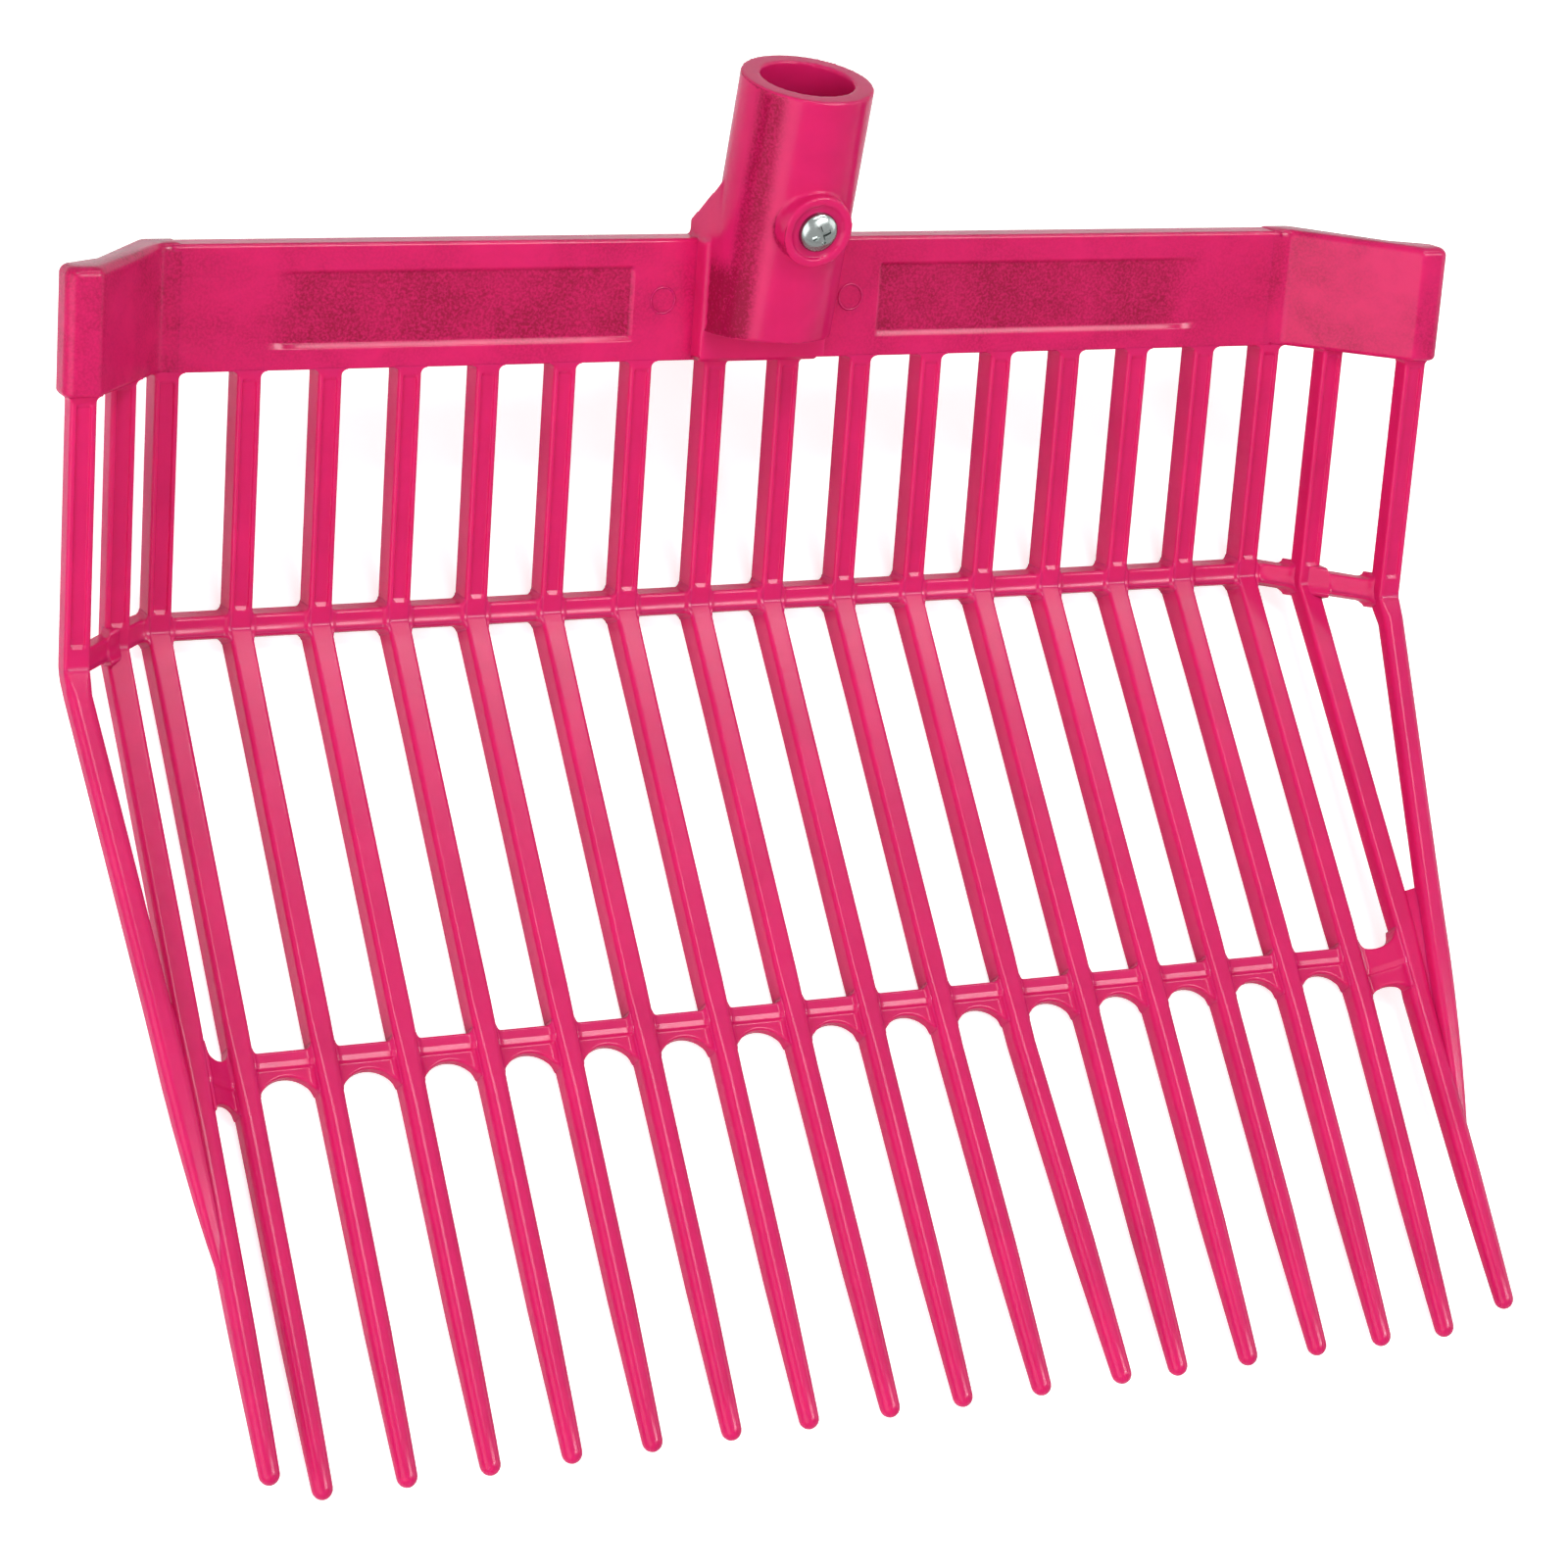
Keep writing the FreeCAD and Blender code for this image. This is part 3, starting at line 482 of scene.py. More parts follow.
def finish_piece(name, shape, nodes, build=polycarbonate_moulded_gloss):
    """Make the piece an object that stands for its nodes, in the material that build makes."""
    bmesh.ops.recalc_face_normals(shape, faces=shape.faces[:])
    mesh = mesh_from(name, shape)
    mesh.shade_smooth()
    mesh.materials.append(bpy.data.materials.get(build.__name__) or build(build.__name__))
    piece = placed(name, mesh)
    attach(piece, BODY)
    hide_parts(*nodes)
    return piece


def dress_nodes(kind, rings):
    """Give each node whose name starts with a kind a skin over its own rings."""
    for name in sorted(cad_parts):
        if name.startswith(kind):
            finish_piece(name + "_moulded", skinned(rings(name)), [name])
    return {"FINISHED"}


def bend_rings(corner, outline, start, end, steps=5):
    """Rings round the bend at a corner point, between shares of the wall's rise."""
    sizes = moulding_sizes()
    out, up = wall_axes()
    radius = sizes.bend_radius
    middle = corner + up * radius * math.tan(sizes.wall_angle / 2) + out * radius
    turns = [tilted(sizes.wall_angle * blend(start, end, step / steps)) for step in range(steps + 1)]
    return [ring(middle - turn * radius, outline, normal=turn) for turn in turns]


def bar_corner_point(name):
    """Where a wall bar's middle line meets the bed, then its width and depth."""
    (left, right), (back, front), height = spans(name)
    out = wall_axes()[0]
    corner = bend_point() + ACROSS * (left + right) / 2 + out * (front + back) / 2
    return corner, right - left, front - back


class FORK_OT_wall_bars(bpy.types.Operator):
    """Upright bars of the wall, each with a shallow channel down its front."""
    bl_idname = "fork.wall_bars"
    bl_label = "Wall bars"

    def execute(self, context):
        return dress_nodes("wall_bar", self.rings)

    def rings(self, name):
        sizes = moulding_sizes()
        out, up = wall_axes()
        corner, width, depth = bar_corner_point(name)
        foot, top = spans(name)[2]
        edge, fillet = sizes.bar_corner, sizes.fillet
        # The channel starts a little above the crossbar and ends below the header's fillet
        clear, gap = 1.2 * MM, 0.42 * MM
        into_channel = ((1.0, 0.0), (1.25, 0.03), (1.9, 0.97), (2.15, 1.0))
        stations = [(foot + clear * run, share, 0.0, edge) for run, share in into_channel]
        stations += [(top - gap - clear * run, share, 0.0, edge)
                     for run, share in reversed(into_channel)]
        # The fillet under the header, whose last ring is buried in it
        buried = 0.3 * MM
        for turn in (0, 20, 45, 70, 90):
            flare = 1 - math.cos(math.radians(turn))
            rise = 1 - math.sin(math.radians(turn))
            stations.append((top - fillet * rise, 0.0, fillet * flare, blend(buried, edge, rise)))
        stations.append((top + buried, 0.0, fillet, buried))
        rings = bend_rings(corner, self.section(width, depth, edge, 0.0), 0.5, 1.0)
        for height, channel, wider, edge in stations:
            outline = self.section(width + 2 * wider, depth, edge, channel)
            rings.append(ring(corner + up * height, outline, normal=out))
        return rings

    def section(self, width, depth, edge, channel):
        """Section of a bar, whose channel is cut to a share of its depth."""
        sizes = moulding_sizes()
        # An unseen step keeps the corners of the channel apart where there is none
        least = 0.02 * MM
        right, front, inner = width / 2, depth / 2 + least, sizes.channel_width / 2
        floor = front - max(least, channel * sizes.channel_depth)
        inside = inner - blend(0.9 * MM, 0.3 * MM, channel)
        lip = blend(0.01 * MM, 0.22 * MM, channel)
        corners = [
            (-right, -depth / 2), (right, -depth / 2), (right, front), (inner, front), (inside, floor),
            (-inside, floor), (-inner, front), (-right, front),
        ]
        return rounded(corners, [edge] * 3 + [lip] * 4 + [edge], 3)


class FORK_OT_tines(bpy.types.Operator):
    """Tines of the bed, rounder and tapered in front of the lower crossbar."""
    bl_idname = "fork.tines"
    bl_label = "Tines"

    def execute(self, context):
        return dress_nodes("tine", self.rings)

    def rings(self, name):
        sizes = moulding_sizes()
        corner, width, depth = bar_corner_point("wall_bar_%02d" % (int(name[-2:]) + 1))
        keys, reach = tine_keys(name, corner, width, depth)
        free, tip = sizes.free_start, reach - sizes.nose

        def section(place, swell=1.0):
            across, rise, wide, deep, edge = (along(key, place) for key in keys)
            centre = Vector((across, bend_point().y - place, rise))
            return ring(centre, oblong(wide * swell, deep * swell, edge * swell))

        rings = bend_rings(corner, oblong(width, depth, sizes.bar_corner), 0.5, 0.0)
        # Few rings in the straight bed, more past the lower crossbar and in the tapered end
        start = bend_point().y - corner.y + 8 * MM
        places = [blend(start, sizes.web_start - 14 * MM, step / 4) for step in range(5)]
        places += [blend(sizes.web_start - 8 * MM, free, step / 8) for step in range(9)]
        places += [blend(free, tip, step / 10) for step in range(1, 11)]
        rings += [section(place) for place in places]
        for turn in (20, 40, 55, 68, 78, 86):
            angle = math.radians(turn)
            rings.append(section(tip + sizes.nose * math.sin(angle), math.cos(angle)))
        return rings


def tine_keys(name, corner, width, depth):
    """Places along a tine with its line across, its height, width, depth and edge radius."""
    sizes = moulding_sizes()
    bend = bend_point()
    low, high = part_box(name)
    ends = [vert.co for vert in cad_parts[name].data.vertices if vert.co.y < low.y + 0.2 * MM]
    tip = [(min(axis) + max(axis)) / 2 for axis in zip(*ends)]
    reach, start = bend.y - low.y, bend.y - corner.y
    free, web = sizes.free_start, sizes.web_start
    slim, neck = reach - 40 * MM, reach - 6 * MM
    across = [(free, corner.x), (reach, tip[0])]
    # An outer tine is raised, and a little more so at the lower crossbar
    raised = tip[2] - bend.z
    rise = [(start, corner.z), (web, bend.z + 1.31 * raised), (free, bend.z + 1.03 * raised),
            (slim, tip[2])]
    wide = [(free, width), (slim, 6.1 * MM), (neck, 5.3 * MM), (reach, 5.0 * MM)]
    deep = [(web, depth), (free, 8 * MM), (slim, 7.3 * MM), (neck, 5.6 * MM), (reach, 5.2 * MM)]
    edge = [(start + 4 * MM, sizes.bar_corner), (start + 20 * MM, sizes.tine_corner),
            (web - 8 * MM, sizes.tine_corner), (free, sizes.free_corner)]
    return (across, rise, wide, deep, edge), reach


class FORK_OT_braces(bpy.types.Operator):
    """Braces that run from the edge bars down to the outer tines, with the webs beside them."""
    bl_idname = "fork.braces"
    bl_label = "Braces"

    def execute(self, context):
        for bar, tine, name in (("wall_bar_01", "tine_01", "left_brace"),
                                ("wall_bar_20", "tine_18", "right_brace")):
            bend = bend_point()
            corner, width, depth = bar_corner_point(bar)
            inner, inner_width, inner_depth = bar_corner_point("wall_bar_%02d" % (int(tine[-2:]) + 1))
            keys, reach = tine_keys(tine, inner, inner_width, inner_depth)
            side = math.copysign(MM, corner.x)
            start = BRACE_WIDTH[0][0]
            across = [(start, corner.x + 0.3 * side)]
            across += [(place, inner.x + aside * side) for place, aside in BRACE_ASIDE]
            rise = [(start, corner.z)]
            rise += [(place, bend.z + height * MM) for place, height in BRACE_HEIGHT]
            rings = bend_rings(corner, oblong(width, depth, 1.0 * MM), 0.5, 0.0)
            for place in BRACE_RINGS:
                centre = Vector((along(across, place), bend.y - place * MM, along(rise, place)))
                size = along(BRACE_WIDTH, place) * MM
                rings.append(ring(centre, oblong(size, size, 0.33 * size)))
            shape = skinned(rings)
            self.web(shape, across, rise, keys, side)
            finish_piece(name + "_moulded", shape, [name])
        return {"FINISHED"}

    def web(self, shape, across, rise, keys, side):
        """Thin web in the corner where the brace comes down beside the tine."""
        bend = bend_point()
        rings = []
        for place, thick in BRACE_WEB:
            y, inside = bend.y - place * MM, place * MM
            tine = Vector((along(keys[0], inside) + 1.5 * side, y, along(keys[1], inside)))
            brace = Vector((along(across, place) - 1.0 * side, y, along(rise, place)))
            span = brace - tine
            normal = span.cross(REAR).normalized()
            outline = oblong(span.length, thick * MM, 0.45 * thick * MM)
            rings.append(ring((tine + brace) / 2, outline, side=span.normalized(), normal=normal))
        skin(shape, rings)


def fillet_rise(distance):
    """How far a fillet stands out at a distance from the bar's side."""
    radius = moulding_sizes().fillet
    rest = max(0.0, radius - max(0.0, distance))
    return radius - math.sqrt(radius ** 2 - rest ** 2)


def across_gap(low, high, middle):
    """Places across a gap between two bars, close together in the fillets at its ends."""
    radius = moulding_sizes().fillet
    steps = [radius * (1 - math.cos(math.radians(turn))) for turn in (0, 25, 45, 62, 77, 90)]
    inner = [blend(low + radius, high - radius, order / (middle + 1)) for order in range(1, middle + 1)]
    return [low + step for step in steps] + inner + [high - step for step in reversed(steps)]


class FORK_OT_upper_crossbar(bpy.types.Operator):
    """The bar in the bend, with a fillet at each wall bar and its ends turned forward."""
    bl_idname = "fork.upper_crossbar"
    bl_label = "Upper crossbar"

    def execute(self, context):
        bend = bend_point()
        out = wall_axes()[0]
        bars = [bar_corner_point("wall_bar_%02d" % order) for order in range(1, 21)]
        # How far the bar lies out of the wall, straight between its kinks, and half its thickness
        kink = context.scene.fork_sizes.kink
        shifts = [(corner.x, (corner - bend).dot(out)) for corner, width, depth in bars]
        shifts[2:-2] = [(-kink, 0.0), (kink, 0.0)]
        thick, thin = 3.5 * MM, 2.8 * MM
        halves = [(shifts[0][0], thin), (-kink, thick), (kink, thick), (shifts[-1][0], thin)]
        top = spans("wall_bar_05")[2][0]
        sides = [(corner.x - width / 2, corner.x + width / 2) for corner, width, depth in bars]
        # One run from bar to bar, and one over the two gaps at each end
        runs = [(0, 2), *((order, order + 1) for order in range(2, 17)), (17, 19)]
        buried = 0.4 * MM
        for order, (first, last) in enumerate(runs, start=1):
            outer = last - first > 1
            places = []
            for before, after in zip(sides[first:last], sides[first + 1:last + 1]):
                places += across_gap(before[1], after[0], 7 if outer else 1)
            places = [sides[first][1] - buried, *places, sides[last][0] + buried]
            if outer:
                end = 0 if first == 0 else -1
                places[end] = bars[end][0].x
            rings = []
            for place in places:
                rise = max(fillet_rise(max(left - place, place - right)) for left, right in sides)
                # The mean of places 3 mm apart rounds the kinks off
                shift = sum(along(shifts, place + step * MM) for step in (-1.5, -0.5, 0.5, 1.5)) / 4
                outline = self.outline(along(halves, place) + min(rise, 0.4 * MM), top + rise, rise)
                rings.append(ring(Vector((place, bend.y, bend.z)) + out * shift, outline, side=REAR))
            nodes = {1: ["left_crossbar_end"], 9: ["upper_crossbar"], 17: ["right_crossbar_end"]}
            finish_piece("upper_crossbar_%02d" % order, skinned(rings), nodes.get(order, []))
        return {"FINISHED"}

    def outline(self, half, top, rise):
        """Side view of the bar between two wall bars: a slope up the wall, then a land in the bed."""
        angle = moulding_sizes().wall_angle
        tip, cosine, sine = half * math.tan(angle / 2), math.cos(angle), math.sin(angle)
        land, heel = 2.2 * MM, 0.8 * MM
        corners = [
            (top * cosine + half * sine, top * sine - half * cosine),
            (top * cosine - half * sine, top * sine + half * cosine),
            (-tip, half), (-tip - land - rise, half), (-heel - rise, -half), (tip, -half),
        ]
        return rounded(corners, [part * MM for part in (0.8, 0.9, 4.5, 0.8, 0.8, 0.8)], 5)


class FORK_OT_lower_crossbar(bpy.types.Operator):
    """Webs between the tines: a rib along the back and a scalloped flange in front."""
    bl_idname = "fork.lower_crossbar"
    bl_label = "Lower crossbar"

    def execute(self, context):
        sizes = context.scene.fork_sizes
        bars = [bar_corner_point("wall_bar_%02d" % order) for order in range(2, 20)]
        tines = [tine_keys("tine_%02d" % order, *bar) for order, bar in enumerate(bars, start=1)]
        middle = sizes.web_start + 5 * MM
        for order, pair in enumerate(zip(tines, tines[1:]), start=1):
            ends = [[along(key, middle) for key in keys] for keys, reach in pair]
            shape = skinned(self.rings(*ends, order in (1, 17)))
            nodes = {1: ["left_end_web"], 9: ["lower_crossbar"], 17: ["right_end_web"]}
            finish_piece("lower_crossbar_%02d" % order, shape, nodes.get(order, []))
        return {"FINISHED"}

    def rings(self, first, second, outer):
        """Rings across one gap, from inside one tine to inside the next."""
        sizes = moulding_sizes()
        bend = bend_point()
        low, high = first[0] + first[2] / 2, second[0] - second[2] / 2
        middle, half = (low + high) / 2, (high - low) / 2
        radius = half * sizes.scallop_share
        start, width = (118.5 * MM, 11 * MM) if outer else (sizes.web_start, 6.6 * MM)
        rib, buried = 0.56 * width, 0.6 * MM
        rings = []
        for place in (low - buried, *across_gap(low, high, 9), high + buried):
            rise = max(fillet_rise(place - low), fillet_rise(high - place))
            aside = min(abs(place - middle), half)
            arch = radius - math.sqrt(radius ** 2 - aside ** 2)
            back = start - rise - (arch if outer else 0.0)
            height = along([(low, first[1]), (high, second[1])], place)
            outline = self.outline(back, start + rib, start + width + arch, rise)
            rings.append(ring(Vector((place, bend.y, height)), outline, side=-REAR))
        return rings

    def outline(self, back, step, front, rise):
        """Side view of a web: a rib behind the step, and a lower flange in front of it."""
        tall = min(rise, 0.7 * MM)
        low, flange, rib = -2.3 * MM - tall, 1.2 * MM + rise, 2.3 * MM + tall
        corners = [
            (back, low), (front, low), (front, flange), (step + 1.0 * MM, flange),
            (step + 0.5 * MM, rib - 0.43 * MM), (step - 0.9 * MM, rib), (back, rib),
        ]
        return rounded(corners, [part * MM for part in (0.6, 0.7, 0.7, 0.7, 0.5, 0.6, 0.6)], 4)


class FORK_OT_header(bpy.types.Operator):
    """The band across the top of the wall, with its panel and the mark of an ejector pin."""
    bl_idname = "fork.header"
    bl_label = "Header"

    def execute(self, context):
        sizes = context.scene.fork_sizes
        out, up = wall_axes()
        for name, side in (("left_header", -ACROSS), ("right_header", ACROSS)):
            (back, front), (bottom, top) = spans(name)[1:]
            start, end = sizes.panel_start / MM, sizes.panel_end / MM
            # Places across in mm, from inside the socket to inside the wing, with the share of the
            # panel's depth there: a sharp near end and a soft far one
            stations = (
                (17.2, 0), (start - 0.3, 0), (start, 0.03), (start + 0.8, 0.97), (start + 1.1, 1),
                (end - 11, 1), (end - 8, 0.93), (end - 5, 0.5), (end - 2, 0.07), (end, 0), (165, 0),
            )
            rings = []
            for place, sunk in stations:
                outline = self.outline(back, front, bottom, top, sunk)
                rings.append(ring(bend_point() + side * place * MM, outline, side=out, normal=up))
            shape = skinned(rings)
            aside = side * PIN_PLACE + up * (bottom + top) / 2 + out * front
            self.pin_mark(shape, bend_point() + aside)
            finish_piece(name + "_moulded", shape, [name], polycarbonate_moulded_etched_panel)
        return {"FINISHED"}

    def outline(self, back, front, bottom, top, sunk):
        """Section of the header, whose panel is sunk by a share of its depth."""
        sizes = moulding_sizes()
        low, high = bottom + sizes.panel_bottom, bottom + sizes.panel_bottom + sizes.panel_height
        floor = front - max(0.01 * MM, sunk * sizes.panel_depth)
        run, lip = blend(1.8 * MM, 1.1 * MM, sunk), blend(0.01 * MM, 0.6 * MM, sunk)
        corners = [
            (back, bottom), (front, bottom), (front, low), (floor, low + run), (floor, high - run),
            (front, high), (front, top), (back, top),
        ]
        return rounded(corners, [0.8 * MM, 0.6 * MM] + [lip] * 4 + [0.9 * MM, 0.9 * MM], 3)

    def pin_mark(self, shape, centre):
        """A low round rim left by an ejector pin."""
        out, up = wall_axes()
        loop = bmesh.ops.create_circle(shape, segments=10, radius=PIN_RIM)["verts"]
        for vert in loop:
            vert.co = centre + up * (PIN_RADIUS + vert.co.x) + out * vert.co.y
        edges = {edge for vert in loop for edge in vert.link_edges}
        bmesh.ops.spin(shape, geom=[*loop, *edges], cent=centre, axis=out, angle=2 * math.pi, steps=40,
                       use_merge=True, use_duplicate=False)


class FORK_OT_wings(bpy.types.Operator):
    """The header's forward turned ends, each with a thicker cap."""
    bl_idname = "fork.wings"
    bl_label = "Wings"

    def execute(self, context):
        out, up = wall_axes()
        turns = (90, 70, 52, 35, 18, 5, 0)
        for name, side in (("left_wing", -ACROSS), ("right_wing", ACROSS)):
            (left, right), (back, front), (bottom, top) = spans(name)
            reach = max(-left, right)
            corners = self.corners(reach, back, front)
            # The bottom edge climbs to the header's where the wing leaves it
            climb = spans(name.replace("wing", "header"))[2][0] - bottom
            fade = [(163 * MM, climb), (186 * MM, 0.0)]
            rings = []
            for edge, radius, steps in ((bottom, 1.3, turns), (top, -2.3, reversed(turns))):
                for turn in steps:
                    height = edge + radius * (1 - math.sin(math.radians(turn))) * MM
                    outline = self.pulled(corners, abs(radius) * (1 - math.cos(math.radians(turn))))
                    places = ring(bend_point() + up * height, outline, side=side, normal=out)
                    if edge == bottom:
                        places = [place + up * along(fade, abs(place.x)) for place in places]
                    rings.append(places)
            finish_piece(name + "_moulded", skinned(rings), [name], polycarbonate_moulded_mottled)
        return {"FINISHED"}

    def corners(self, reach, back, front):
        """Corners of the wing seen down the wall, from the header's front round its cap and back."""
        inside, knee, heel = 162 * MM, 167.5 * MM, 171.3 * MM
        face = 4.02 * MM
        return [
            (inside, face), (knee, face), (reach - 8.8 * MM, front), (reach, front),
            (reach, front - 8.7 * MM), (reach - 10.7 * MM, front - 14.9 * MM), (heel, back),
            (inside, back),
        ]

    def pulled(self, corners, depth):
        """The wing's outline, pulled in by a depth in mm where its top and bottom edges are round."""
        pulls = (0.4, 0.45, 1.0, 1.0, 1.0, 1.0, 0.45, 0.4)
        radii = (0.4, 4.0, 2.2, 2.8, 2.6, 3.0, 4.0, 0.4)
        losses = (0.06, -0.6, 0.6, 0.6, 0.6, 0.6, 0.6, 0.06)
        turned = [(radius - depth * loss) * MM for radius, loss in zip(radii, losses)]
        return rounded(inset(corners, [depth * pull * MM for pull in pulls]), turned, 5)


def inset(corners, amounts):
    """Pull the corners of a polygon, given clockwise, inwards by amounts square to its sides."""
    corners = [Vector(corner) for corner in corners]
    pulled = []
    for before, corner, after, amount in zip(
            corners[-1:] + corners[:-1], corners, corners[1:] + corners[:1], amounts):
        first, second = (corner - before).normalized(), (after - corner).normalized()
        inwards = [Vector((way.y, -way.x)) for way in (first, second)]
        middle = (inwards[0] + inwards[1]).normalized()
        pulled.append(corner + middle * amount / middle.dot(inwards[0]))
    return pulled


def merged_copy(name):
    """A copy of a node's mesh with its loose triangles joined and its flat faces made one."""
    shape = bmesh.new()
    shape.from_mesh(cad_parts[name].data)
    bmesh.ops.remove_doubles(shape, verts=shape.verts[:], dist=0.005 * MM)
    bmesh.ops.dissolve_limit(shape, angle_limit=math.radians(0.5), verts=shape.verts[:],
                             edges=shape.edges[:])
    return shape


class FORK_OT_socket(bpy.types.Operator):
    """The handle socket, softened all over as it leaves the mould."""
    bl_idname = "fork.socket"
    bl_label = "Handle socket"

    def execute(self, context):
        form = placed("socket_form", mesh_from("socket_form", merged_copy("handle_socket")))
        # Small voxels, then smoothing, round every edge by about 1 mm
        remesh = form.modifiers.new("remesh", "REMESH")
        remesh.mode = "VOXEL"
        remesh.voxel_size = 0.5 * MM
        smooth = form.modifiers.new("smooth", "SMOOTH")
        smooth.factor = 0.5
        smooth.iterations = 5
        # The socket's material paints a dark reflection down the tube's left and shade in the valley by
        # its left cheek
        finish_piece("handle_socket_moulded", shape_with_modifiers(form), ["handle_socket"],
                     polycarbonate_moulded_etched_socket)
        return {"FINISHED"}


class FORK_OT_screw(bpy.types.Operator):
    """Pan head screw with a cross recess."""
    bl_idname = "fork.screw"
    bl_label = "Handle screw"

    def execute(self, context):
        sizes, screw = context.scene.fork_sizes, context.scene.fork_screw
        outwards = tilted(sizes.wall_angle + sizes.socket_lean)
        points = [vert.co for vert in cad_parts["handle_screw"].data.vertices]
        heights = [point.dot(outwards) for point in points]
        crown = [point for point, height in zip(points, heights) if height > max(heights) - 0.05 * MM]
        middle = sum(crown, Vector()) / len(crown)
        place = Matrix.Translation(middle) @ outwards.to_track_quat("Z", "X").to_matrix().to_4x4()
        head = placed("screw_form", self.turned(screw, max(heights) - min(heights)))
        cutters = []
        for turn in (screw.slot_turn, screw.slot_turn + math.pi / 2):
            cutters.append(placed("slot_form", self.slot(screw, turn)))
            cut = head.modifiers.new("slot", "BOOLEAN")
            cut.object = cutters[-1]
        shape = shape_with_modifiers(head, *cutters)
        bmesh.ops.transform(shape, matrix=place, verts=shape.verts[:])
        piece = finish_piece("handle_screw_plated", shape, ["handle_screw"], zinc_plated_bright)
        piece.data.set_sharp_from_angle(angle=math.radians(35))
        return {"FINISHED"}

    def slot(self, screw, turn):
        """A bar with round edges at the origin, which cuts one slot of the cross recess."""
        size = Vector((screw.slot_length, screw.slot_width, 2 * screw.slot_depth))
        shape = bmesh.new()
        bmesh.ops.create_cube(shape, size=1.0)
        bmesh.ops.scale(shape, vec=size, verts=shape.verts[:])
        bmesh.ops.bevel(shape, geom=shape.edges[:], offset=0.25 * MM, offset_type="OFFSET", segments=2,
                        profile=0.5, affect="EDGES", clamp_overlap=True, material=-1)
        bmesh.ops.rotate(shape, matrix=Matrix.Rotation(turn, 3, "Z"), verts=shape.verts[:])
        return mesh_from("slot_form", shape)

    def turned(self, screw, length):
        """The head and shank, turned about the vertical with the crown at the origin."""
        radius, shank = screw.head_radius, screw.shank_radius
        profile = [(0.0, -length), (shank, -length), (shank, -screw.head), (radius, -screw.head),
                   (radius, -screw.dome)]
        for turn in range(10, 91, 10):
            angle = math.radians(turn)
            profile.append((radius * math.cos(angle), screw.dome * (math.sin(angle) - 1)))
        shape = bmesh.new()
        verts = [shape.verts.new((aside, 0, height)) for aside, height in profile]
        edges = [shape.edges.new(pair) for pair in zip(verts, verts[1:])]
        bmesh.ops.spin(shape, geom=verts + edges, cent=(0, 0, 0), axis=(0, 0, 1), angle=2 * math.pi,
                       steps=48, use_merge=True, use_duplicate=False)
        bmesh.ops.remove_doubles(shape, verts=shape.verts[:], dist=0.01 * MM)
        bmesh.ops.recalc_face_normals(shape, faces=shape.faces[:])
        return mesh_from("screw_form", shape)


class FORK_OT_stage(bpy.types.Operator):
    """Set up the floor, the soft lamps and the camera."""
    bl_idname = "fork.stage"
    bl_label = "Stage"

    def execute(self, context):
        make_floor(context)
        make_lamps(context)
        make_camera(context)
        return {"FINISHED"}


def seen_directly(tree, mirrored):
    """1 for rays from the camera, a share for mirrored and transmitted ones, 0 for the rest."""
    path = add(tree, "ShaderNodeLightPath")
    bounced = add(tree, "ShaderNodeMath", {0: path.outputs["Is Glossy Ray"],
                                           1: path.outputs["Is Transmission Ray"]}, operation="MAXIMUM")
    share = add(tree, "ShaderNodeMath", {0: bounced.outputs[0], 1: mirrored}, operation="MULTIPLY")
    return add(tree, "ShaderNodeMath", {0: path.outputs["Is Camera Ray"], 1: share.outputs[0]},
               operation="MAXIMUM").outputs[0]


def make_floor(context):
    shape = bmesh.new()
    bmesh.ops.create_grid(shape, x_segments=1, y_segments=1, size=6.0)
    floor = placed("floor", mesh_from("floor", shape))
    material = new_material("paper_matte_white")
    tree = material.node_tree
    paper = add(tree, "ShaderNodeBsdfDiffuse", Color=linear(context.scene.fork_finish.floor))
    lift = add(tree, "ShaderNodeMath", {0: seen_directly(tree, FLOOR_MIRRORED), 1: FLOOR_GLOW},
               operation="MULTIPLY")
    glow = add(tree, "ShaderNodeEmission", {"Strength": lift.outputs[0]})
    both = add(tree, "ShaderNodeAddShader", {0: paper.outputs[0], 1: glow.outputs[0]})
    add(tree, "ShaderNodeOutputMaterial", {"Surface": both.outputs[0]})
    floor.data.materials.append(material)


def add_lamp(name, place, width, depth, watts, card=False):
    """A soft lamp that looks at the middle of the head, or a level card seen only in the gloss."""
    light = bpy.data.lights.new(name, "AREA")
    light.shape = "RECTANGLE"
    light.size = width
    light.size_y = depth
    light.energy = watts
    lamp = placed(name, light)
    lamp.location = place
    lamp.visible_diffuse = not card
    if not card:
        lamp.rotation_euler = (-Vector(place)).to_track_quat("-Z", "Y").to_euler()


def make_lamps(context):
    world = bpy.data.worlds.new("studio")
    world.use_nodes = True
    tree = world.node_tree
    tree.nodes.clear()
    plain = add(tree, "ShaderNodeBackground", Color=(1, 1, 1, 1), Strength=WORLD_LIGHT)
    white = add(tree, "ShaderNodeBackground", Color=(1, 1, 1, 1), Strength=1.0)
    mix = add(tree, "ShaderNodeMixShader", {0: seen_directly(tree, 1.0), 1: plain.outputs[0],
                                            2: white.outputs[0]})
    add(tree, "ShaderNodeOutputWorld", {"Surface": mix.outputs[0]})
    context.scene.world = world
    for lamp in SOFTBOXES:
        add_lamp(*lamp)
    for lamp in CARDS:
        add_lamp(*lamp, card=True)


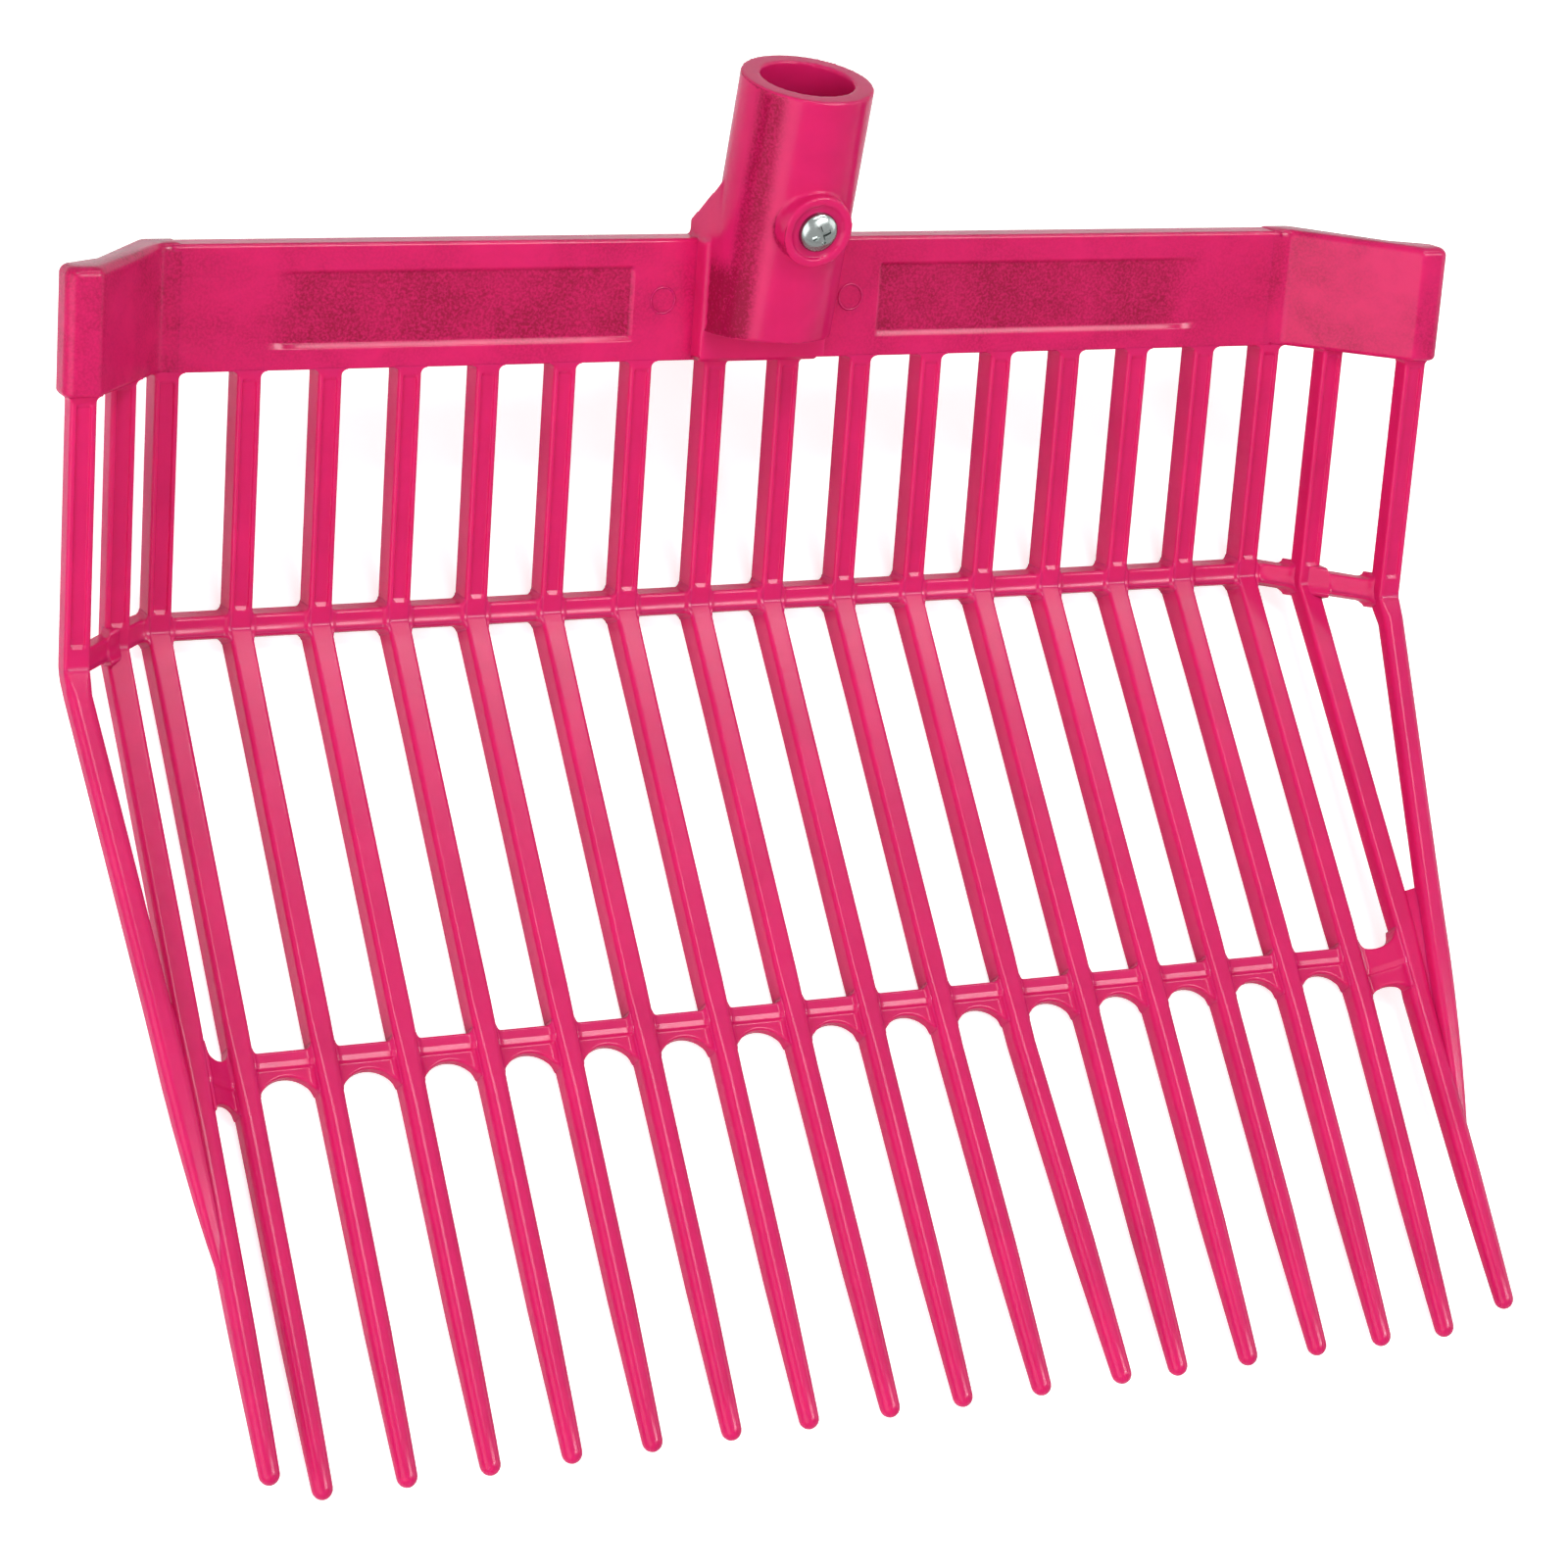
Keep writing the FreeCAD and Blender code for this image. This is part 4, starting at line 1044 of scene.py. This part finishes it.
def make_camera(context):
    settings = context.scene.fork_camera
    data = bpy.data.cameras.new("camera")
    data.lens = settings.lens
    data.sensor_width = 36.0
    camera = placed("camera", data)
    sight = Vector(settings.aim) - Vector(settings.place)
    level = sight.to_track_quat("-Z", "Y").to_matrix().to_4x4()
    turn = Matrix.Rotation(settings.roll, 4, "Z")
    camera.matrix_world = Matrix.Translation(settings.place) @ level @ turn
    context.scene.camera = camera
    context.scene.view_settings.view_transform = "Standard"


class FORK_PT_panel(bpy.types.Panel):
    """Lists the pieces, the stage and the sizes they are built from."""
    bl_idname = "FORK_PT_panel"
    bl_label = "Shavings fork"
    bl_space_type = "VIEW_3D"
    bl_region_type = "UI"
    bl_category = "Fork"

    def draw(self, context):
        for operator in OPERATORS:
            self.layout.operator(operator.bl_idname)
        for name in MouldingSizes.__annotations__:
            self.layout.prop(context.scene.fork_sizes, name)


OPERATORS = (
    FORK_OT_wall_bars, FORK_OT_tines, FORK_OT_braces, FORK_OT_upper_crossbar, FORK_OT_lower_crossbar,
    FORK_OT_header, FORK_OT_wings, FORK_OT_socket, FORK_OT_screw, FORK_OT_stage,
)
# The groups of settings, by the name that each has on the scene
GROUPS = {"fork_sizes": MouldingSizes, "fork_screw": ScrewSizes, "fork_camera": CameraSettings,
          "fork_finish": FinishSettings}
CLASSES = (*GROUPS.values(), *OPERATORS, FORK_PT_panel)


def register():
    for kind in CLASSES:
        bpy.utils.register_class(kind)
    for name, group in GROUPS.items():
        setattr(bpy.types.Scene, name, PointerProperty(type=group))


def unregister():
    for name in GROUPS:
        delattr(bpy.types.Scene, name)
    for kind in reversed(CLASSES):
        bpy.utils.unregister_class(kind)


def main():
    register()
    bpy.ops.fork.wall_bars()
    bpy.ops.fork.tines()
    bpy.ops.fork.braces()
    bpy.ops.fork.upper_crossbar()
    bpy.ops.fork.lower_crossbar()
    bpy.ops.fork.header()
    bpy.ops.fork.wings()
    bpy.ops.fork.socket()
    bpy.ops.fork.screw()
    bpy.ops.fork.stage()


if __name__ == "__main__":
    main()
